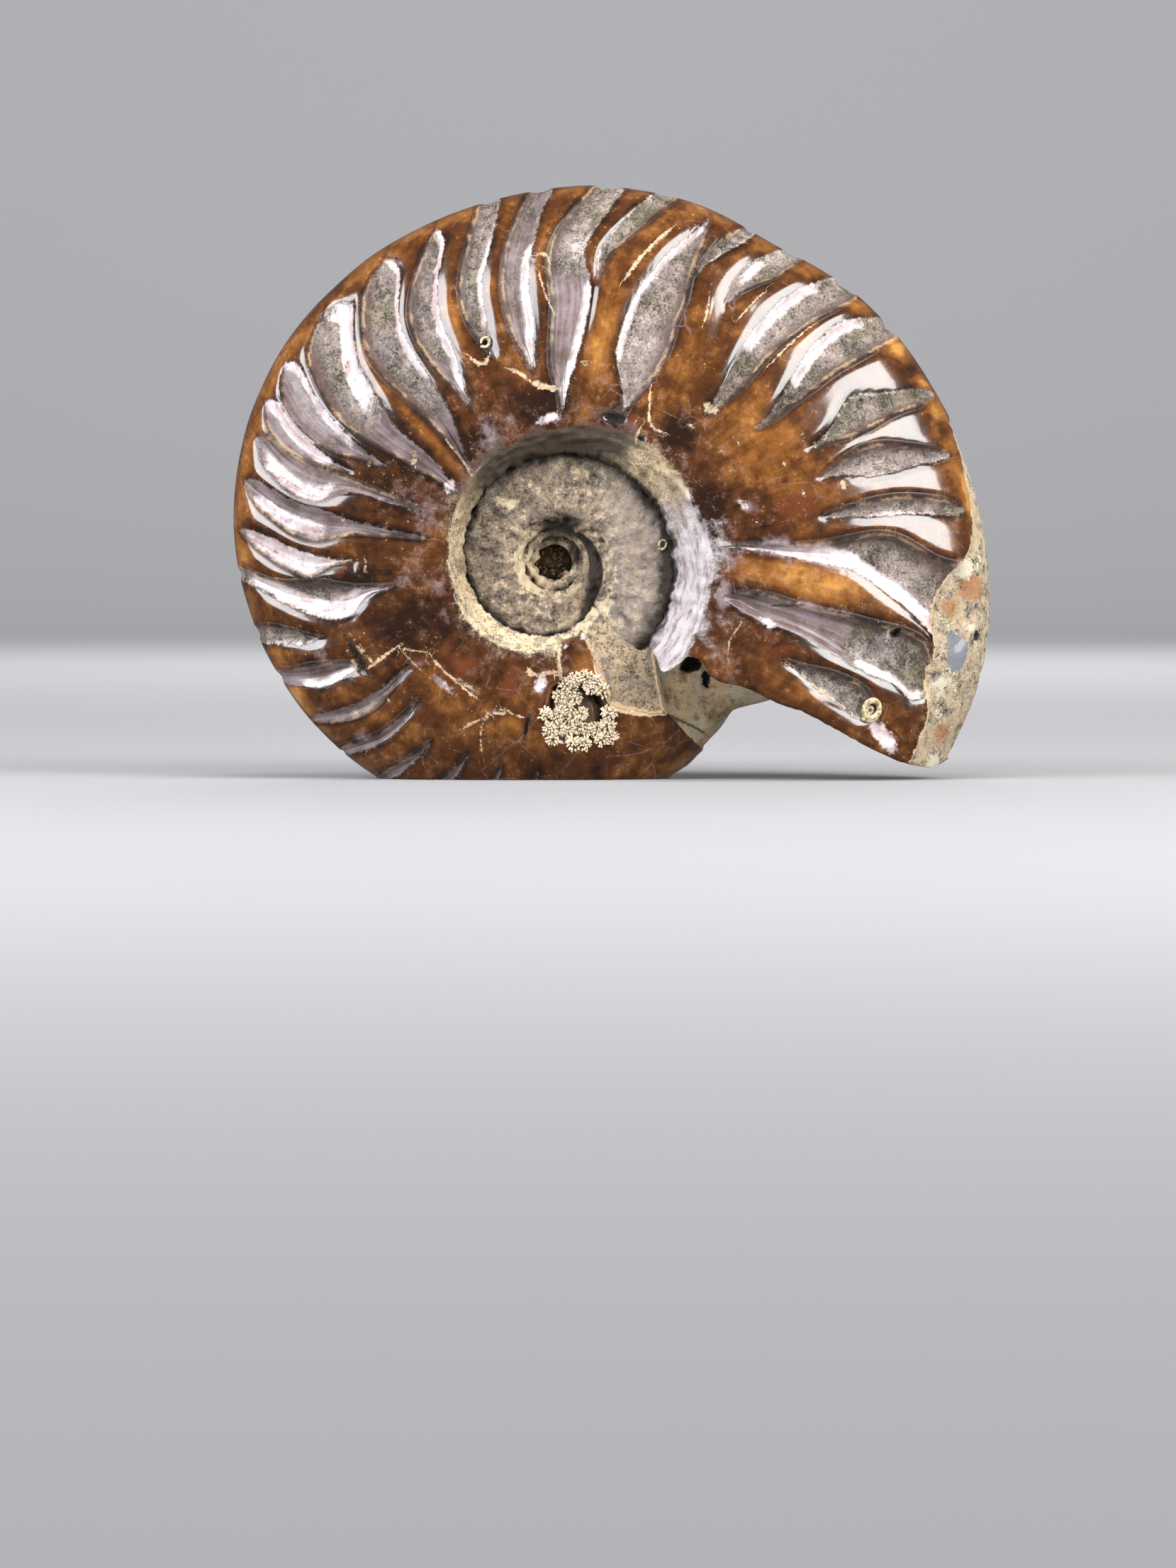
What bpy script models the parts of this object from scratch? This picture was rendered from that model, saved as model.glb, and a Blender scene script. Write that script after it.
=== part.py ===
"""A polished cleoniceras ammonite, fossilised whole, standing on a small flat ground on its outer edge.

Angles are degrees round the coil axis, seen from the front, counter-clockwise from three o'clock.
The shell grew clockwise, so a larger angle is an older part: the mouth is near -30, the left side is
180, and the same place one whorl further in is 360 more. Lengths are metres.
"""

import bisect
import math

import bmesh
import bpy
from mathutils import Matrix, Vector, noise

MM = 0.001

# The coil: its axis runs along Y through AXIS, and the front flank faces -Y.
AXIS = Vector((-9.06 * MM, 0.0, 34.6 * MM))
VENTER_RADIUS = 69.3 * MM  # coil axis to the outer edge at angle 0
TURN = 360.0

# The outer edge leaves a plain doubling spiral in four places: (angle, spread, share of the radius).
SWELLINGS = (
    (152.0, 48.0, 0.042),  # full upper left
    (84.0, 14.0, 0.010),
    (55.0, 9.0, -0.021),  # the step where a plate of shell broke off
    (-31.0, 14.0, -0.040),  # the edge straightens towards the mouth
)

# Stations along the spiral: (angle, millimetres).
SEAM = (
    (-60, 19.4), (0, 18.3), (90, 16.5), (180, 13.9), (225, 12.6), (270, 11.3),
    (315, 8.8), (360, 7.3), (405, 6.0), (450, 5.3), (540, 4.9), (700, 4.4), (1100, 2.6),
)
SHOULDER = (
    (-60, 25.9), (0, 25.1), (60, 23.2), (108, 19.8), (180, 17.0), (225, 16.6), (270, 14.4),
    (315, 12.0), (360, 9.9), (405, 8.3), (450, 7.4), (540, 6.6), (700, 5.6), (1100, 3.4),
)
HALF_WIDTH = (
    (-60, 19.2), (0, 18.0), (90, 15.4), (180, 13.3), (270, 12.0), (330, 12.0), (360, 11.8),
    (450, 10.4), (540, 9.4), (720, 7.8), (900, 6.4), (1100, 5.0),
)

# The mouth's lip, as angle against the place on the section, and the old whorl's edge under the mouth.
LIP = (
    (-1.0, -41.0), (0.0, -39.0), (0.14, -35.5), (0.45, -31.0), (0.8, -30.2), (0.95, -28.6), (1.0, -26.5),
)
OLD_EDGE = ((0.32, 319.0), (0.45, 322.0), (0.7, 326.5), (1.0, 329.5))
MOUTH_SEAM = -41.0
MOUTH_FILLET = 5.0 * MM  # how far the old whorl's edge rises into the mouth
FILLET_FADE = 20.0  # degrees over which the covered whorl drops back from that rise
LIP_THICKNESS = 1.5 * MM
STONE_RECESS = 3.0 * MM  # how far the stone filling lies behind the lip

# Furrows between the ribs: angle at low flank, mid flank and outer edge, half width in degrees, and
# how far down the flank the furrow reaches (0 is the umbilical shoulder, 1 the outer edge).
FURROWS = (
    (-25.5, -24.3, -24.0, 1.6, 0.30),
    (-14.0, -15.6, -16.0, 3.2, 0.05),
    (2.0, -1.5, -5.5, 3.4, 0.10),
    (8.0, 8.3, 6.0, 1.9, 0.40),
    (17.8, 17.3, 14.8, 2.0, 0.48),
    (24.3, 25.9, 23.6, 2.4, 0.45),
    (33.8, 37.0, 35.2, 2.2, 0.36),
    (45.0, 46.0, 43.0, 2.8, 0.26),
    (67.5, 68.0, 65.2, 4.4, 0.08),
    (80.3, 79.4, 73.5, 1.3, 0.60),
    (87.0, 87.2, 81.8, 3.6, 0.10),
    (98.0, 98.3, 91.8, 2.7, 0.28),
    (106.4, 107.4, 102.0, 2.2, 0.34),
    (118.6, 118.0, 110.5, 2.8, 0.26),
    (129.5, 129.3, 124.3, 3.5, 0.02),
    (143.0, 143.6, 137.8, 2.9, 0.05),
    (151.8, 152.3, 148.4, 2.1, 0.36),
    (159.2, 160.2, 156.0, 1.9, 0.14),
    (169.6, 170.3, 165.6, 1.4, 0.22),
    (179.8, 181.2, 174.4, 1.8, 0.42),
    (189.4, 190.0, 184.0, 2.9, 0.30),
    (201.5, 200.0, 193.2, 1.9, 0.60),
    (209.0, 208.2, 202.3, 2.1, 0.36),
    (216.6, 217.2, 214.0, 1.6, 0.42),
    (226.0, 225.6, 222.5, 1.4, 0.52),
    (236.0, 235.8, 232.5, 1.5, 0.60),
    (246.0, 245.6, 242.5, 1.6, 0.60),
    (256.0, 255.6, 252.5, 1.5, 0.62),
    (266.0, 265.6, 262.5, 1.5, 0.64),
)
FURROW_DEPTH = 1.6 * MM  # in the broad furrows; narrow ones are shallower
FULL_HALF_WIDTH = 2.4  # half width at which a furrow is at its full depth, in degrees
FOOT_FADE = (-0.02, 0.22)  # the depth grows over these places, counted from the furrow's foot
EDGE_FADE = (0.88, 1.0)  # and shrinks over these
EDGE_DEPTH = 0.4  # to this share of it on the outer edge
LOW_BEND = (0.3, 0.72)  # places between which a furrow swings from its low angle to its middle one
TOP_BEND = (0.66, 1.02)  # and from its middle angle to its outer one
SHOULDER_LEAN = 1.5  # degrees that a furrow's line leans back at the shoulder
RIB_CROWN = 0.2 * MM  # how far a rib's middle stands above its edges
CROWN_RISE = (0.1, 0.5)  # places over which that crown grows
CROWN_FALL = (0.9, 1.0)  # and over which it is lost again
MID_FLANK = 0.7
COLUMN_SPACING = 4.4  # widest stretch of smooth shell between two columns of the mesh, in degrees

# Where the stone shows along the outer edge by the mouth, the shell over it is gone.
BARE_RIM = (-8.0, 4.0)  # angles between which the shell breaks off
BARE_RIM_EDGE = (0.78, 0.84)  # the break's place on the flank
SHELL_THICKNESS = 0.7 * MM

# A plate of the lost whorl that still clings to the front of the old whorl, low down by the hollow.
PLATE_ANGLE = 299.0
PLATE_RADIUS = 21.0 * MM
PLATE_SIZE = Vector((5.6, 0.9, 4.9)) * MM  # half width, height above the flank, half length
PLATE_SIDES = 9
PLATE_UNEVENNESS = 0.3  # of its outline
PLATE_GRAIN = 2.3  # bumps of the outline across its half size
PLATE_ROOT = 1.5 * MM  # how far it reaches into the old whorl

# The hollow beside the plate, and the crystal crust in it.
HOLLOW_ANGLE = 277.0
HOLLOW_RADIUS = 24.4 * MM
HOLLOW_SIZE = Vector((4.9, 3.2, 5.8)) * MM  # half sizes
HOLLOW_UNEVENNESS = 0.22
HOLLOW_GRAIN = 1.7  # lumps across its half size
HOLLOW_TURN = math.radians(-18.0)
HOLLOW_SINK = 1.4 * MM  # how far its middle lies under the flank
HOLLOW_REACH = 5.0 * MM  # its sides run straight out past the flank
GAP = 0.3 * MM
CRYSTAL_HEIGHTS = (0.2 * MM, 2.4 * MM)  # of the points, from the flattest to the longest
CRYSTAL_GRAIN = 1.3 * MM
OUTWARD = -0.3  # faces of the crust whose normal points further out of the hollow than this bear points

# The innermost whorls, as rings drawn in towards the axis: (share of the size, drop).
CENTRE_RINGS = ((0.62, 0.6 * MM), (0.66, 1.6 * MM), (0.4, 1.2 * MM))
CRUST_GRAIN = 2.6 * MM  # lumps of the crust on the inner whorls
CRUST_HEIGHT = 0.5 * MM
CRUST_START = 340.0  # angle by which the crust has its full height

WALL_ROUNDNESS = 1.4  # of the umbilical wall: 1 is a straight slope, 2 a quarter of an ellipse

SHELL_COLOUR = (0.26, 0.115, 0.04)
SHELL_ROUGHNESS = 0.3
CRYSTAL_COLOUR = (0.52, 0.41, 0.27)
CRYSTAL_ROUGHNESS = 0.45
CREASE = math.radians(35)  # a sharper bend between two faces stays an edge

TINY = 0.002 * MM
FRONT, BACK = 1, -1


def between(stations, place):
    """Smooth value at a place among hand-read stations (place, value), level beyond both ends."""
    places = [station[0] for station in stations]
    values = [station[1] for station in stations]
    if place <= places[0]:
        return values[0]
    if place >= places[-1]:
        return values[-1]

    def slope(k):
        low, high = max(k - 1, 0), min(k + 1, len(places) - 1)
        return (values[high] - values[low]) / (places[high] - places[low])

    i = bisect.bisect_right(places, place) - 1
    step = places[i + 1] - places[i]
    u = (place - places[i]) / step
    rise = values[i + 1] - values[i]
    bend = (1 - u) * (slope(i) * step - rise) + u * (rise - slope(i + 1) * step)
    return values[i] + u * rise + u * (1 - u) * bend


def smooth(low, high, value):
    """0 below low, 1 above high, and an S-curve between them."""
    u = min(max((value - low) / (high - low), 0.0), 1.0)
    return u * u * (3 - 2 * u)


def venter(angle):
    """Distance from the coil axis to the outer edge."""
    share = 1.0
    for middle, spread, amount in SWELLINGS:
        share += amount * math.exp(-(((angle - middle) / spread) ** 2))
    crest = OLD_EDGE[-1][1]
    fillet = smooth(MOUTH_SEAM + TURN, crest, angle) * (1 - smooth(crest, crest + FILLET_FADE, angle))
    return VENTER_RADIUS * 2 ** (-angle / TURN) * share + MOUTH_FILLET * fillet


def seam(angle):
    return between(SEAM, angle) * MM


def shoulder(angle):
    return between(SHOULDER, angle) * MM


def half_width(angle):
    return between(HALF_WIDTH, angle) * MM


def flank_height(angle, radius):
    """Height of a whorl's smooth flank above the middle plane of the coil."""
    share = (radius - shoulder(angle)) / (venter(angle) - shoulder(angle))
    return half_width(angle) * math.sqrt(max(1 - max(share, 0.0) ** 2, 0.0))


def section(angle, place):
    """Point (radius, height) and outward normal of the smooth section of a whorl.

    place runs from -1 at the seam with the older whorl, over the umbilical shoulder at 0,
    down the flank to 1 at the outer edge.
    """
    width = half_width(angle)
    if place < 0:
        reach = shoulder(angle) - seam(angle)
        foot = flank_height(angle + TURN, seam(angle))
        rise = width - foot
        inward = -place
        up = (1 - inward**WALL_ROUNDNESS) ** (1 / WALL_ROUNDNESS)
        point = (shoulder(angle) - reach * inward, foot + rise * up)
        normal = Vector((-rise * inward, reach))
    else:
        reach = venter(angle) - shoulder(angle)
        cosine = math.sqrt(max(1 - place * place, 0.0))
        point = (shoulder(angle) + reach * place, width * cosine)
        normal = Vector((place * width, cosine * reach))
    return point, normal.normalized()


TRIM = (seam(MOUTH_SEAM) - shoulder(MOUTH_SEAM + TURN)) / (
    venter(MOUTH_SEAM + TURN) - shoulder(MOUTH_SEAM + TURN)
)
BODY_ROWS = (-1.0, -0.5, 0.0, TRIM / 2, TRIM, 0.45, 0.62, 0.77, 0.89, 0.96, 1.0)
INNER_ROWS = 4


def furrow_angle(furrow, place):
    """Angle of a furrow's middle at a place on the section."""
    low, middle, top = furrow[:3]
    angle = low + (middle - low) * smooth(*LOW_BEND, place)
    angle += (top - middle) * smooth(*TOP_BEND, place)
    return angle + SHOULDER_LEAN * (1 - smooth(0.0, LOW_BEND[0], place))


def furrow_depth(furrow, place):
    """Depth of a furrow, which fades out down the flank and over the outer edge."""
    half, foot = furrow[3:]
    share = min(half / FULL_HALF_WIDTH, 1.0)
    fade = smooth(foot + FOOT_FADE[0], foot + FOOT_FADE[1], place)
    fade *= 1 - (1 - EDGE_DEPTH) * smooth(*EDGE_FADE, place)
    return FURROW_DEPTH * share * fade


def columns():
    """Lines of the mesh across the flank, from the mouth backwards: (angle, sink), both of the place.

    Each furrow has a line along both edges and one along its floor, and wide ribs have some between.
    """
    lines = [(lambda place: between(LIP, place), lambda place: 0.0)]

    def add_ribs(front, back, crown):
        count = int((back(MID_FLANK) - front(MID_FLANK)) / COLUMN_SPACING)
        for k in range(1, count + 1):
            share = k / (count + 1)
            lines.append(
                (
                    lambda place, share=share: front(place) * (1 - share) + back(place) * share,
                    lambda place: -crown * smooth(*CROWN_RISE, place) * (1 - smooth(*CROWN_FALL, place)),
                )
            )

    for furrow in FURROWS:

        def line(side, furrow=furrow):
            return lambda place: furrow_angle(furrow, place) + side * furrow[3]

        add_ribs(lines[-1][0], line(-1), RIB_CROWN)
        lines.append((line(-1), lambda place: 0.0))
        lines.append((line(0), lambda place, furrow=furrow: furrow_depth(furrow, place)))
        lines.append((line(1), lambda place: 0.0))
    add_ribs(lines[-1][0], lambda place: between(OLD_EDGE, place), 0.0)
    lines.append((lambda place: between(OLD_EDGE, place), lambda place: 0.0))
    return lines


def bare_rim_depth(angle, place):
    """How far the bare stone of the outer edge lies under the shell's surface, by the mouth."""
    gone = 1 - smooth(*BARE_RIM, angle)
    return SHELL_THICKNESS * gone * smooth(*BARE_RIM_EDGE, place)


def to_world(angle, radius, height, side):
    turn = math.radians(angle)
    return AXIS + Vector((radius * math.cos(turn), -side * height, radius * math.sin(turn)))


def body_point(lines, i, j, side):
    """Vertex of the body whorl's flank: column i counts back from the mouth, row j out from the seam."""
    angle_at, sink_at = lines[i]
    place = BODY_ROWS[j]
    angle = angle_at(place)
    (radius, height), normal = section(angle, place)
    sink = sink_at(place) + bare_rim_depth(angle, place)
    return to_world(angle, radius - sink * normal.x, height - sink * normal.y, side)


def inner_point(lines, i, j, side):
    """Vertex of the next whorl in, between its own seam and the seam of the body whorl on it."""
    outer_angle = lines[i][0](-1.0)
    angle = outer_angle + TURN
    span = venter(angle) - shoulder(angle)
    trim = (seam(outer_angle) - shoulder(angle)) / span
    place = (-1.0, -0.5, 0.0, trim / 2, trim)[j]
    (radius, height), normal = section(angle, place)
    point = to_world(angle, radius, height, side)
    lump = noise.noise(point / CRUST_GRAIN) * CRUST_HEIGHT * smooth(MOUTH_SEAM + TURN, CRUST_START, angle)
    lump *= 0.0 if j in (0, INNER_ROWS) else 1.0
    return to_world(angle, radius + lump * normal.x, height + lump * normal.y, side)


def rolled_sheet(bm, lines, row_count, point_at, side):
    """A flat grid rolled up along the spiral, one side of one whorl."""
    column_count = len(lines) - 1
    grid = bmesh.ops.create_grid(bm, x_segments=column_count, y_segments=row_count, size=0.5)
    for vert in grid["verts"]:
        i = round((vert.co.x + 0.5) * column_count)
        j = round((vert.co.y + 0.5) * row_count)
        vert.co = point_at(lines, i, j, side)


def open_loops(bm):
    """The closed loops of boundary edges, each as a list of edges."""
    left = {edge for edge in bm.edges if edge.is_boundary}
    loops = []
    while left:
        loop = []
        reach = [left.pop()]
        while reach:
            edge = reach.pop()
            loop.append(edge)
            for vert in edge.verts:
                for other in vert.link_edges:
                    if other in left:
                        left.discard(other)
                        reach.append(other)
        loops.append(loop)
    return loops


def close_centre(bm, loop, side):
    """Fill one side's innermost hole with the ring of the first whorls and the pit in their middle."""
    for share, drop in CENTRE_RINGS:
        made = bmesh.ops.extrude_edge_only(bm, edges=loop)
        loop = [item for item in made["geom"] if isinstance(item, bmesh.types.BMEdge) and item.is_boundary]
        for vert in {vert for edge in loop for vert in edge.verts}:
            vert.co.x = AXIS.x + (vert.co.x - AXIS.x) * share
            vert.co.z = AXIS.z + (vert.co.z - AXIS.z) * share
            vert.co.y += side * drop
    bmesh.ops.edgeloop_fill(bm, edges=loop)


def close_mouth(bm, loop):
    """Fill the mouth with stone, a little behind the lip of the shell."""
    filling = bmesh.ops.edgeloop_fill(bm, edges=loop)["faces"]
    bmesh.ops.recalc_face_normals(bm, faces=bm.faces)
    bmesh.ops.inset_region(
        bm, faces=filling, thickness=LIP_THICKNESS, depth=-STONE_RECESS, use_even_offset=True
    )
    bmesh.ops.poke(bm, faces=filling)


def grind_flat(bm):
    """Cut the underside level, where the fossil stands."""
    bmesh.ops.bisect_plane(
        bm,
        geom=[*bm.verts, *bm.edges, *bm.faces],
        dist=TINY,
        plane_co=(0.0, 0.0, 0.0),
        plane_no=(0.0, 0.0, 1.0),
        clear_inner=True,
    )
    for loop in open_loops(bm):
        bmesh.ops.edgeloop_fill(bm, edges=loop)


def finish_piece(name, bm, colour, roughness):
    """Make the object, smooth where its surface is round, with a material of its own."""
    bmesh.ops.recalc_face_normals(bm, faces=bm.faces)
    mesh = bpy.data.meshes.new(name)
    bm.to_mesh(mesh)
    bm.free()
    mesh.shade_smooth()
    mesh.set_sharp_from_angle(angle=CREASE)
    material = bpy.data.materials.new(name + "_surface")
    material.use_nodes = True
    shader = material.node_tree.nodes["Principled BSDF"]
    shader.inputs["Base Color"].default_value = (*colour, 1.0)
    shader.inputs["Roughness"].default_value = roughness
    shader.inputs["Metallic"].default_value = 0.0
    mesh.materials.append(material)
    piece = bpy.data.objects.new(name, mesh)
    bpy.context.scene.collection.objects.link(piece)
    return piece


def make_ammonite():
    """The shell and its stone filling, one solid."""
    bm = bmesh.new()
    lines = columns()
    for side in (FRONT, BACK):
        rolled_sheet(bm, lines, len(BODY_ROWS) - 1, body_point, side)
        rolled_sheet(bm, lines, INNER_ROWS, inner_point, side)
    bmesh.ops.remove_doubles(bm, verts=bm.verts, dist=TINY)
    for loop in open_loops(bm):
        heights = [-vert.co.y for edge in loop for vert in edge.verts]
        if min(heights) < 0 < max(heights):
            close_mouth(bm, loop)
        else:
            close_centre(bm, loop, FRONT if heights[0] > 0 else BACK)
    grind_flat(bm)
    return finish_piece("ammonite", bm, SHELL_COLOUR, SHELL_ROUGHNESS)


def on_flank(angle, radius, sink, turn):
    """Place on the front flank of the old whorl, with Y running into the stone."""
    height = flank_height(angle, radius) - sink
    return Matrix.Translation(to_world(angle, radius, height, FRONT)) @ Matrix.Rotation(turn, 4, "Y")


def hollow_lump(shrink):
    """The hollow's faceted egg shape, made smaller all round by shrink."""
    bm = bmesh.new()
    bmesh.ops.create_icosphere(bm, subdivisions=2, radius=1.0)
    every = [*bm.verts, *bm.edges, *bm.faces]
    bmesh.ops.bisect_plane(bm, geom=every, dist=TINY, plane_co=(0, 0, 0), plane_no=(0, 1, 0))
    for vert in bm.verts:
        swell = 1 + HOLLOW_UNEVENNESS * noise.noise(vert.co * HOLLOW_GRAIN)
        for axis in range(3):
            vert.co[axis] *= HOLLOW_SIZE[axis] * swell - shrink
    return bm


def combine(ammonite, name, bm, operation):
    """Join a guide shape to the shell, or cut it out."""
    guide = finish_piece(name, bm, SHELL_COLOUR, SHELL_ROUGHNESS)
    guide.hide_render = True
    guide.display_type = "WIRE"
    step = ammonite.modifiers.new(name, "BOOLEAN")
    step.operation = operation
    step.solver = "EXACT"
    step.object = guide


def add_plate(ammonite):
    """Join the clinging plate to the old whorl: an uneven slab with broken sides."""
    bm = bmesh.new()
    bmesh.ops.create_circle(bm, segments=PLATE_SIDES, radius=1.0, cap_ends=True)
    made = bmesh.ops.extrude_face_region(bm, geom=list(bm.faces))
    top = {item for item in made["geom"] if isinstance(item, bmesh.types.BMVert)}
    for vert in bm.verts:
        edge = 1 + PLATE_UNEVENNESS * noise.noise(vert.co * PLATE_GRAIN)
        height = -PLATE_SIZE.y if vert in top else PLATE_ROOT
        vert.co = Vector((vert.co.x * PLATE_SIZE.x * edge, height, vert.co.y * PLATE_SIZE.z * edge))
    bmesh.ops.transform(bm, matrix=on_flank(PLATE_ANGLE, PLATE_RADIUS, 0.0, 0.0), verts=bm.verts)
    combine(ammonite, "plate", bm, "UNION")


def cut_hollow(ammonite):
    """Take the hollow for the crystals out of the front flank."""
    bm = hollow_lump(0.0)
    for vert in bm.verts:
        if vert.co.y < -TINY:
            vert.co.y -= HOLLOW_REACH
    place = on_flank(HOLLOW_ANGLE, HOLLOW_RADIUS, HOLLOW_SINK, HOLLOW_TURN)
    bmesh.ops.transform(bm, matrix=place, verts=bm.verts)
    combine(ammonite, "hollow", bm, "DIFFERENCE")


def make_crystals():
    """The crust in the hollow: a lump whose open side stands up in pointed crystals."""
    bm = hollow_lump(GAP)
    low, high = CRYSTAL_HEIGHTS
    shown = [face for face in bm.faces if face.normal.y < OUTWARD]
    for tip in bmesh.ops.poke(bm, faces=shown)["verts"]:
        tip.co.y -= low + (high - low) * (0.5 + 0.5 * noise.noise(tip.co / CRYSTAL_GRAIN))
    place = on_flank(HOLLOW_ANGLE, HOLLOW_RADIUS, HOLLOW_SINK, HOLLOW_TURN)
    bmesh.ops.transform(bm, matrix=place, verts=bm.verts)
    return finish_piece("calcite_crystals", bm, CRYSTAL_COLOUR, CRYSTAL_ROUGHNESS)


for old in list(bpy.data.objects):
    bpy.data.objects.remove(old, do_unlink=True)
fossil = make_ammonite()
add_plate(fossil)
cut_hollow(fossil)
make_crystals()
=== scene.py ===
"""A polished cleoniceras ammonite on a pale studio floor.

Angles are degrees round the coil axis, seen from the front, counter-clockwise from three o'clock.
The shell grew clockwise, so a larger angle is an older part: the mouth is near -30, the left side is
180, and the same place one whorl further in is 360 more. A place on a whorl's section runs from -1 at
the seam with the older whorl, over the umbilical shoulder at 0, to 1 at the outer edge.
"""

import bisect
import math
import random
from collections import namedtuple

import bmesh
import bpy
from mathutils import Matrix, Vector, noise


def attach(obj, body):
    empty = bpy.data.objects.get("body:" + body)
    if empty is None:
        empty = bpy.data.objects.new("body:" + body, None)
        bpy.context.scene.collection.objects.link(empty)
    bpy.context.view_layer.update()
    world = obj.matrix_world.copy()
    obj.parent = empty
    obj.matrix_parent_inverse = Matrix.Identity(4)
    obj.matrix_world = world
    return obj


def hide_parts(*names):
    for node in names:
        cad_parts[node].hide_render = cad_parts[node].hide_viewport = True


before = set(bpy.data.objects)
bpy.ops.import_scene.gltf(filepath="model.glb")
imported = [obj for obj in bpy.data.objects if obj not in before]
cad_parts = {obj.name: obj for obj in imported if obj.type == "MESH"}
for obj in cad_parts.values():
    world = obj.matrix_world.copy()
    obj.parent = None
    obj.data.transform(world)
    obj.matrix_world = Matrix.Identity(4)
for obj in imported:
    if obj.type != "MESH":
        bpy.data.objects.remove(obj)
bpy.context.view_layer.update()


# Body whorl
# The last whorl of the shell, mother-of-pearl turned to brown aragonite and polished over its ribs.
# It is one tube rolled up along the spiral, closed by the stone in its mouth and inside the old whorl.

MM = 0.001
TURN = 360.0
AXIS = Vector((-9.06 * MM, 0.0, 34.6 * MM))
VENTER_RADIUS = 69.3 * MM
SWELLINGS = ((152.0, 48.0, 0.042), (84.0, 14.0, 0.010), (55.0, 9.0, -0.021), (-31.0, 14.0, -0.040))
SEAM = (
    (-60, 19.4), (0, 18.3), (90, 16.5), (180, 13.9), (225, 12.6), (270, 11.3),
    (315, 8.8), (360, 7.3), (405, 6.0), (450, 5.3), (540, 4.9), (700, 4.4), (1100, 2.6),
)
SHOULDER = (
    (-60, 25.9), (0, 25.1), (60, 23.2), (108, 19.8), (180, 17.0), (225, 16.6), (270, 14.4),
    (315, 12.0), (360, 9.9), (405, 8.3), (450, 7.4), (540, 6.6), (700, 5.6), (1100, 3.4),
)
HALF_WIDTH = (
    (-60, 19.2), (0, 18.0), (90, 15.4), (180, 13.3), (270, 12.0), (330, 12.0), (360, 11.8),
    (450, 10.4), (540, 9.4), (720, 7.8), (900, 6.4), (1100, 5.0),
)
WALL_ROUNDNESS = 1.4
MOUTH_SEAM = -41.0
LIP = (
    (-1.0, -40.5), (-0.75, -42.3), (-0.5, -43.3), (-0.3, -45.6), (-0.12, -42.5), (0.03, -34.0),
    (0.11, -36.2), (0.22, -33.4), (0.36, -32.2), (0.45, -31.0), (0.8, -30.2), (0.95, -28.6), (1.0, -26.5),
)
OLD_CREST = 329.5  # where the old whorl's edge stands highest, inside the mouth
MOUTH_FILLET = 5.0 * MM
FILLET_FADE = 20.0
OLD_END = 337.0  # the tube's old end, hidden in the stone of the mouth
FRONT, BACK = 1, -1

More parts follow.
